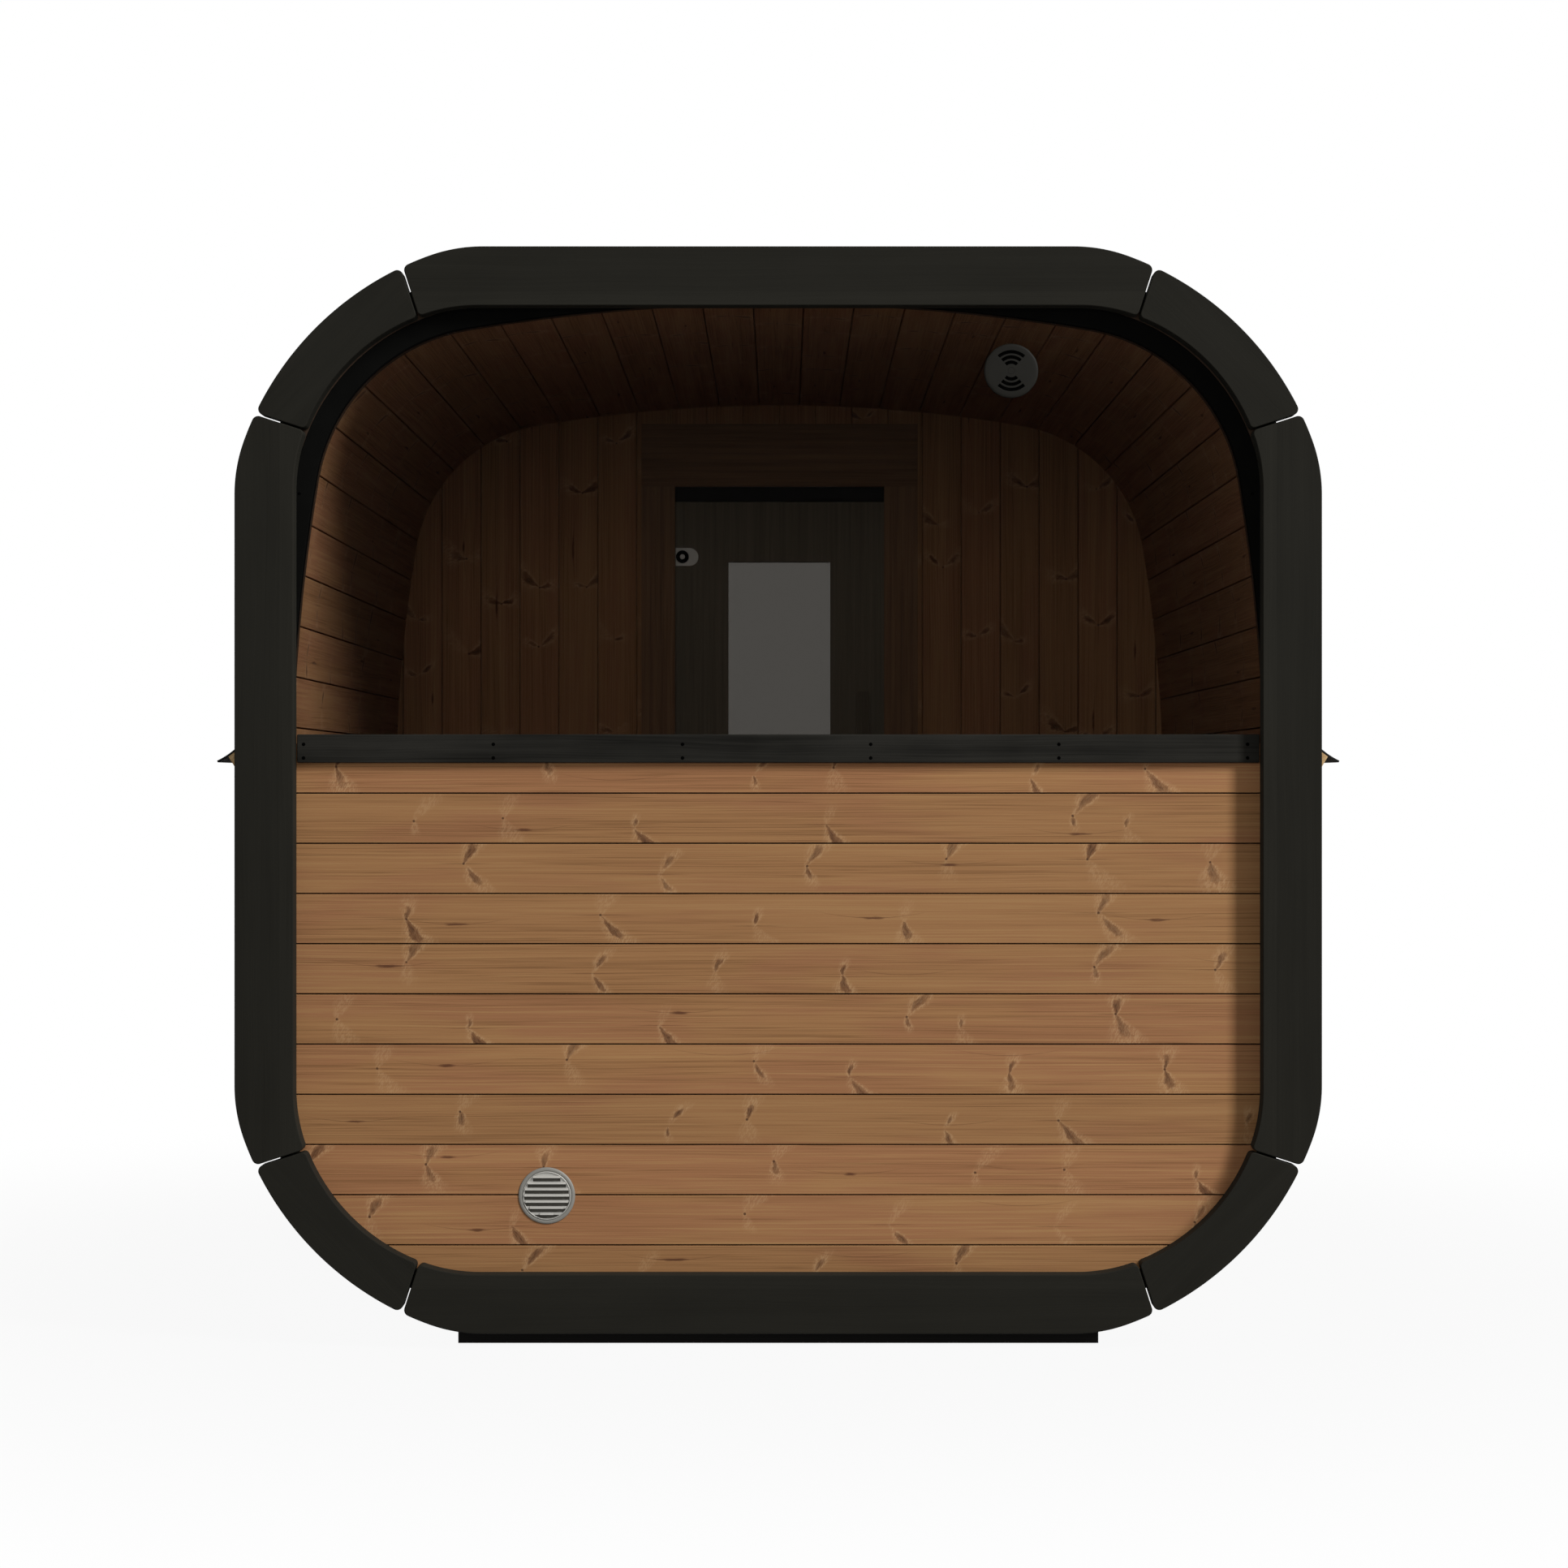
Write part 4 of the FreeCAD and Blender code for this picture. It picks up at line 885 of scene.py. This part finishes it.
# Sill rail, window surround, gasket and their screws
trim = {
    "railHalf": 0.916, "railLow": 0.052, "railHigh": 0.106, "railThick": 0.012, "railEase": 0.0022,
    "railScrews": (-0.903, -0.542, -0.182, 0.176, 0.534, 0.893), "screwLevels": (0.061, 0.087),
    "railTone": 0.3, "railPattern": (0.08, 3.0), "screwRadius": 0.0034, "screwLift": 0.0004,
    "lap": -0.014, "edge": 0.025, "thick": 0.008, "ease": 0.0012, "sillGap": 0.0001,
    "surroundScrews": ((-0.913, 0.565), (-0.920, 0.505), (0.904, 0.565)), "surroundScrewRadius": 0.0030,
    "gasketIn": -0.0160, "gasketDeep": 0.0055, "gasketGap": 0.0001, "gasketEase": 0.0006,
}
railFace = -wallFace - trim["railThick"]
low, high, reach = trim["railLow"], trim["railHigh"], trim["railHalf"]
outline = [(-reach, low), (reach, low), (reach, high), (-reach, high)]
rail = single(
    "rail", "stained_timber", railPaint, outline, railFace, -wallFace, trim["railEase"], 3,
    levelPattern(*trim["railPattern"]), trim["railTone"])
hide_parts("rear_sill_rail")


def upperRing(outer, inner):
    level = wallBoards["sill"] + trim["sillGap"]
    return np.concatenate([upperLoop(outer, level), upperLoop(inner, level)[::-1]])


surroundBack = -wallFace + trim["thick"]
outline = upperRing(trim["edge"], trim["lap"])
surround = single(
    "window_surround", "surround_black", surroundPaint, outline, -wallFace, surroundBack, trim["ease"])
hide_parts("rear_window_surround")
outline = upperRing(trim["lap"], trim["gasketIn"])
single("window_gasket", "surround_black", gasketPaint, outline, surroundBack - trim["gasketDeep"],
       surroundBack - trim["gasketGap"], trim["gasketEase"])


# A closed circle
def disc(middle, radius, step=6.0):
    return arcPoints(middle, radius, 0, 360, step)[:-1]


# Low round heads with eased rims, all in one mesh
def screwHeads(name, places, radius, slotName, lift, deep=0.002):
    stack = Stack()
    for x, y, level in places:
        stack.prism(disc((x, level), radius, 24), y - lift, y + deep)
    stack.build(name, slotName, screwPaint, radius * 0.12)


places = [(x, railFace, level) for x in trim["railScrews"] for level in trim["screwLevels"]]
screwHeads("rail_screws", places, trim["screwRadius"], "stained_timber", trim["screwLift"])
places = [(x, -wallFace, level) for x, level in trim["surroundScrews"]]
screwHeads("surround_screws", places, trim["surroundScrewRadius"], "surround_black", trim["screwLift"])
print("window trim ready")


# Round plates: a grid of radii and angles, with cells left out for slots. A cell has a quad on the
# front and one on the back, and its open edges get walls.
def polarPlate(name, middle, radii, heights, back, angles, openCells, body, material, bevel=0.0):
    radii, heights, turns = np.array(radii), np.array(heights), np.radians(angles)
    rings, rays = len(radii), len(turns)
    r, a = np.meshgrid(radii, turns, indexing="ij")
    x, z = middle[0] + r * np.cos(a), middle[1] + r * np.sin(a) + centre
    front = np.stack([x, np.repeat(heights[:, None], rays, 1), z], -1).reshape(-1, 3)
    rear = np.stack([x, np.full_like(x, back), z], -1).reshape(-1, 3)
    shift = rings * rays
    index = np.arange(shift).reshape(rings, rays)
    nextRay = np.roll(index, -1, axis=1)
    solid = np.ones((rings - 1, rays), bool)
    for ring, ray in openCells:
        solid[ring, ray] = False
    quads = np.stack([index[:-1], nextRay[:-1], nextRay[1:], index[1:]], -1)[solid]

    def walls(first, second, mask):
        return np.stack([first, second, second + shift, first + shift], -1)[mask]

    none = np.zeros((1, rays), bool)
    inner, outer = np.vstack([none, solid]), np.vstack([solid, none])
    before = np.roll(solid, 1, axis=1)
    faces = np.concatenate([
        quads,
        quads[:, ::-1] + shift,
        walls(nextRay, index, outer & ~inner),
        walls(index, nextRay, inner & ~outer),
        walls(index[:-1], index[1:], solid & ~before),
        walls(index[1:], index[:-1], before & ~solid),
    ])[:, ::-1]
    used, faces = np.unique(faces, return_inverse=True)
    verts = np.concatenate([front, rear])[used]
    obj = makeObject(name, verts, [tuple(face) for face in faces.reshape(-1, 4)], body, material)
    return ease(obj, bevel, 2, 30.0) if bevel else obj


vent = {
    "x": 0.444, "level": 0.799, "radius": 0.052, "front": -0.9618, "back": -0.9543,
    "slots": (0.016, 0.026, 0.036), "width": 0.0062, "halfAngle": 42.0, "bore": 0.0061,
    "rim": (0.042, 0.0475, 0.0500, 0.0514), "rimRises": (0.0019, 0.0031, 0.0050), "middleRise": 0.0002,
    "dish": 0.0012, "ease": 0.0005, "screenRadius": 0.0405, "screen": (-0.9490, -0.9482),
}
ventMiddle = (vent["x"], vent["level"])
slotEdges = [r + side * vent["width"] / 2 for r in vent["slots"] for side in (-1, 1)]
radii = [vent["bore"], *slotEdges, *vent["rim"], vent["radius"]]
heights = [vent["front"] + vent["middleRise"] + vent["dish"] * (r / vent["radius"]) ** 2 for r in radii]
heights[-3:] = [vent["front"] + rise for rise in vent["rimRises"]]
step = vent["halfAngle"] / 8
angles = []
for middle in (90, 270):
    angles += [middle + step * k for k in range(-8, 9)]
    angles += list(np.linspace(middle + 52, middle + 128, 13)[1:-1])
fans = [*range(16), *range(28, 44)]
openCells = [(1 + 2 * slot, ray) for slot in range(3) for ray in fans]
plate = polarPlate(
    "vent_disc", ventMiddle, radii, heights, vent["back"], angles, openCells,
    "vent_disc", ventPaint, vent["ease"])
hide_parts("window_vent_disc")
# The screen behind the vent's slots is near black, partly as painted shade
single("vent_screen", "vent_black", screenPaint, disc(ventMiddle, vent["screenRadius"]), *vent["screen"])

# Louvre: a flat ring with a raised bead, strips between the slots, and a blade over each slot
grille = {
    "field": 0.0444, "front": -0.960, "back": -0.958, "pitch": 0.0117, "count": 7,
    "lower": 0.0047, "slot": 0.0070, "out": 0.0050, "drop": 0.0040, "thick": 0.0010, "raise": 0.0009,
    "screwRing": 0.0492, "screwTurns": (90, 213, -33), "screwRadius": 0.0021, "screwLift": 0.0006,
    "bead": [(0.0438, 0.0000), (0.0444, -0.0014), (0.0450, -0.0022), (0.0456, -0.0014), (0.0464, -0.0004)],
    "flange": [(0.0464, -0.0004), (0.0490, -0.0012), (0.0525, -0.0004), (0.0535, 0.0003), (0.054, 0.0012)],
    "slotInner": 0.0428, "slotOuter": 0.0452, "bladeEase": 0.0002, "screenRadius": 0.0465,
    "screen": (0.0040, 0.0048),
}
front = grille["front"]
for name, paint in (("bead", litAluminiumPaint), ("flange", louvrePaint)):
    radii, rises = np.array(grille[name]).T
    flange = smooth(polarPlate(
        "louvre_" + name, hole, radii, front + rises, grille["back"], np.linspace(0, 360, 97)[:-1], [],
        "cabin", paint))
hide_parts("louvre_vent")
slots = []
for number in range(grille["count"]):
    middle = (number - (grille["count"] - 1) / 2) * grille["pitch"] - grille["lower"]
    low, high = middle - grille["slot"] / 2, middle + grille["slot"] / 2
    reach = min(grille["slotInner"] ** 2 - high ** 2, grille["slotOuter"] ** 2 - low ** 2)
    slots.append((low, high, math.sqrt(reach)))


# Part of the field's disc between two levels, cut off square at left or right if given
def fieldStrip(low, high, left=None, right=None):
    lowTurn, highTurn = (math.degrees(math.asin(v / grille["field"])) for v in (low, high))
    rightSide, leftSide = [(right, low), (right, high)], [(left, high), (left, low)]
    if right is None:
        rightSide = arcPoints((0, 0), grille["field"], lowTurn, highTurn, 4.0)
    if left is None:
        leftSide = arcPoints((0, 0), grille["field"], 180 - highTurn, 180 - lowTurn, 4.0)
    return chain(rightSide, leftSide) + hole


field, blades = Stack(), Stack()
end = grille["field"] - 1e-5
levels = [-end, *(level for low, high, _ in slots for level in (low, high)), end]
for low, high in zip(levels[::2], levels[1::2]):
    field.prism(fieldStrip(low, high), front, grille["back"])
for low, high, reach in slots:
    if reach < math.sqrt(grille["field"] ** 2 - max(abs(low), abs(high)) ** 2):
        field.prism(fieldStrip(low, high, None, -reach), front, grille["back"])
        field.prism(fieldStrip(low, high, reach, None), front, grille["back"])
    top = high + grille["drop"] + grille["raise"] + hole[1] + centre
    tip, foot = front - grille["out"], top - grille["drop"]
    slope = [
        (front + 0.0008, top), (front - 0.0012, top - 0.0006), (tip + 0.0008, foot + 0.0009),
        (tip, foot - 0.0002), (tip + 0.0002, foot - grille["thick"]),
    ]
    below = [(y + 0.0009, z - grille["thick"] * 0.9) for y, z in slope[:3]][::-1]
    blades.prism(np.array(slope + below), hole[0] - reach, hole[0] + reach, carry=lengthwise)
field.build("louvre_field", "vent_aluminium", litAluminiumPaint)
blades.build("louvre_blades", "vent_aluminium", litAluminiumPaint, grille["bladeEase"])
single("louvre_screen", "vent_aluminium", shadedScreenPaint, disc(hole, grille["screenRadius"]),
       *(grille["back"] + deep for deep in grille["screen"]))
ring = [arcPoints(hole, grille["screwRing"], turn, turn)[0] for turn in grille["screwTurns"]]
places = [(x, front, level) for x, level in ring]
screwHeads("louvre_screws", places, grille["screwRadius"], "vent_aluminium", grille["screwLift"])
print("vents ready")


# Dark seals round the bosses of the door's clamps
seal = {
    "x": -0.2395, "heights": (0.330, 1.633), "face": 0.914, "radii": (0.0062, 0.0072, 0.0150, 0.0158),
    "thick": (0.0002, 0.0008, 0.0008, 0.0002),
}
for number, height in enumerate(seal["heights"]):
    polarPlate(
        f"hinge_seal_{number}", (seal["x"], height - centre), seal["radii"],
        seal["face"] - np.array(seal["thick"]), seal["face"], np.linspace(0, 360, 49)[:-1], [],
        "door", gasketPaint)
print("hinge seals ready")


# Finishes on the nodes that keep their own shape
for material, *nodes in (
    # The arch timber is darkened as painted shade, where it shows in the slit behind the frame's corners
    (laidPaint("arch timber with painted shade", (54, 39, 27), (38, 27, 18), "x"), "rear_window_arch"),
    (panePaint("window tint", (0.885, 0.875, 0.865), 0.02), "rear_window_glass"),
    (panePaint("door tint", (0.28, 0.275, 0.265), 0.1), "door_light"),
    (laidPaint("pale lath", (206, 176, 130), (164, 130, 88)), "eave_lath_left", "eave_lath_right"),
    # Near-black stain: the cradles' own colour, and on the door head a painted shade for the dark band at
    # the top of the doorway
    (laidPaint("cradle stain and door head shade", (24, 23, 21), (15, 14, 13), "x", 0.7, 0.1),
     "cradle_rear", "cradle_front", "door_head"),
    (ventPaint, "window_vent_base"),
    (laidPaint("door stain", (104, 97, 84), (88, 82, 70), "z", 0.6, 0.05), "door_leaf"),
    (laidPaint("handle timber", (92, 85, 72), (70, 64, 54), "z", 0.5, 0.1), "door_handles"),
    (laidPaint("casing timber", (120, 92, 68), (90, 67, 48), "z"), "door_casing_left", "door_casing_right"),
    (laidPaint("casing head timber", (116, 88, 64), (86, 63, 44), "x"), "door_casing_head"),
    (coatPaint("satin steel", srgb(150, 148, 142), 0.4, 0.6, 1500.0, 0.08, 0.4),
     "hinge_knuckles", "hinge_straps", "hinge_clamps"),
):
    for node in nodes:
        slots = bpy.data.objects[node].data.materials
        slots.clear()
        slots.append(material)
print("finishes laid on")


# Camera square on to the window wall
view = {"x": 0.011, "height": 1.0725, "distance": 6.33, "spanAtFrame": 2.969, "sensor": 36.0}
camera = link("camera", bpy.data.cameras.new("camera"))
camera.location = (view["x"], -frameFace - view["distance"], view["height"])
camera.rotation_euler = (math.pi / 2, 0, 0)
camera.data.sensor_width = view["sensor"]
camera.data.lens = view["sensor"] * view["distance"] / view["spanAtFrame"]
scene.camera = camera

# Studio: a key lamp from the right and above, a wide fill, and a pale floor
studio = {
    "aim": (0.0, -1.0, 1.0),
    "keyAzimuth": 54.0, "keyRise": 36.0, "keyDistance": 22.0, "keyPower": 6100.0, "keySize": (3.4, 12.0),
    "fillPower": 104.0, "fillSize": (2.0, 2.0), "fillPlace": (-0.4, -9.0, 2.6),
    "backPower": 60.0, "backPlace": (1.5, 6.0, 4.5),
    "worldDiffuse": 0.16, "floorHalf": 40.0, "floorGrey": (0.2, 0.2, 0.2), "floorFade": (1.2, 3.6),
    "floorNear": 0.935, "floorFar": 0.065,
}


def areaLight(name, place, power, size):
    light = link(name, bpy.data.lights.new(name, "AREA"))
    light.data.energy = power
    light.data.shape = "RECTANGLE"
    light.data.size, light.data.size_y = size
    light.location = place
    run = np.array(studio["aim"]) - np.array(place)
    light.rotation_euler = (math.atan2(math.hypot(run[0], run[1]), -run[2]), 0, math.atan2(-run[0], run[1]))
    return light


azimuth, rise = math.radians(studio["keyAzimuth"]), math.radians(studio["keyRise"])
keyRun = np.array([math.sin(azimuth) * math.cos(rise), -math.cos(azimuth) * math.cos(rise), math.sin(rise)])
keyPlace = np.array(studio["aim"]) + keyRun * studio["keyDistance"]
areaLight("key", keyPlace, studio["keyPower"], studio["keySize"])
areaLight("fill", studio["fillPlace"], studio["fillPower"], studio["fillSize"]).visible_glossy = False
areaLight("back", studio["backPlace"], studio["backPower"], studio["fillSize"])

world = bpy.data.worlds.new("studio")
scene.world = world
world.use_nodes = True
tree = world.node_tree
tree.nodes.clear()
glow = tree.nodes.new("ShaderNodeBackground")
glow.inputs["Color"].default_value = (1, 1, 1, 1)
connect(tree, glow.inputs["Strength"], seenRays(tree).atLeast(studio["worldDiffuse"]))
tree.links.new(glow.outputs[0], tree.nodes.new("ShaderNodeOutputWorld").inputs[0])

# The floor is white where it is seen, and keeps a share of its shading near the cabin
p = Paint("studio floor")
x, y, z = p.split(p.place())
far = ((x * x + y * y) ** 0.5).ramp(*studio["floorFade"])
matte = p.node("ShaderNodeBsdfDiffuse", Color=studio["floorGrey"])
bright = p.node("ShaderNodeEmission", Color=(1, 1, 1), Strength=1.0)
share = seenRays(p.tree) * (studio["floorNear"] + far * studio["floorFar"])
half = studio["floorHalf"]
mesh = bpy.data.meshes.new("studio_floor")
corners = [(-half, -half, 0), (half, -half, 0), (half, half, 0), (-half, half, 0)]
mesh.from_pydata(corners, [], [(0, 1, 2, 3)])
floor = link("studio_floor", mesh)
floor.data.materials.append(p.finish(p.mixShader(share, matte, bright)))
floor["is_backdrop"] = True

scene.view_settings.view_transform = "Standard"
boxes = {"cad": cadBox, "visual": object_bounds()}
{name: [[float(v) for v in corner] for corner in box] for name, box in boxes.items()}
print("scene ready")
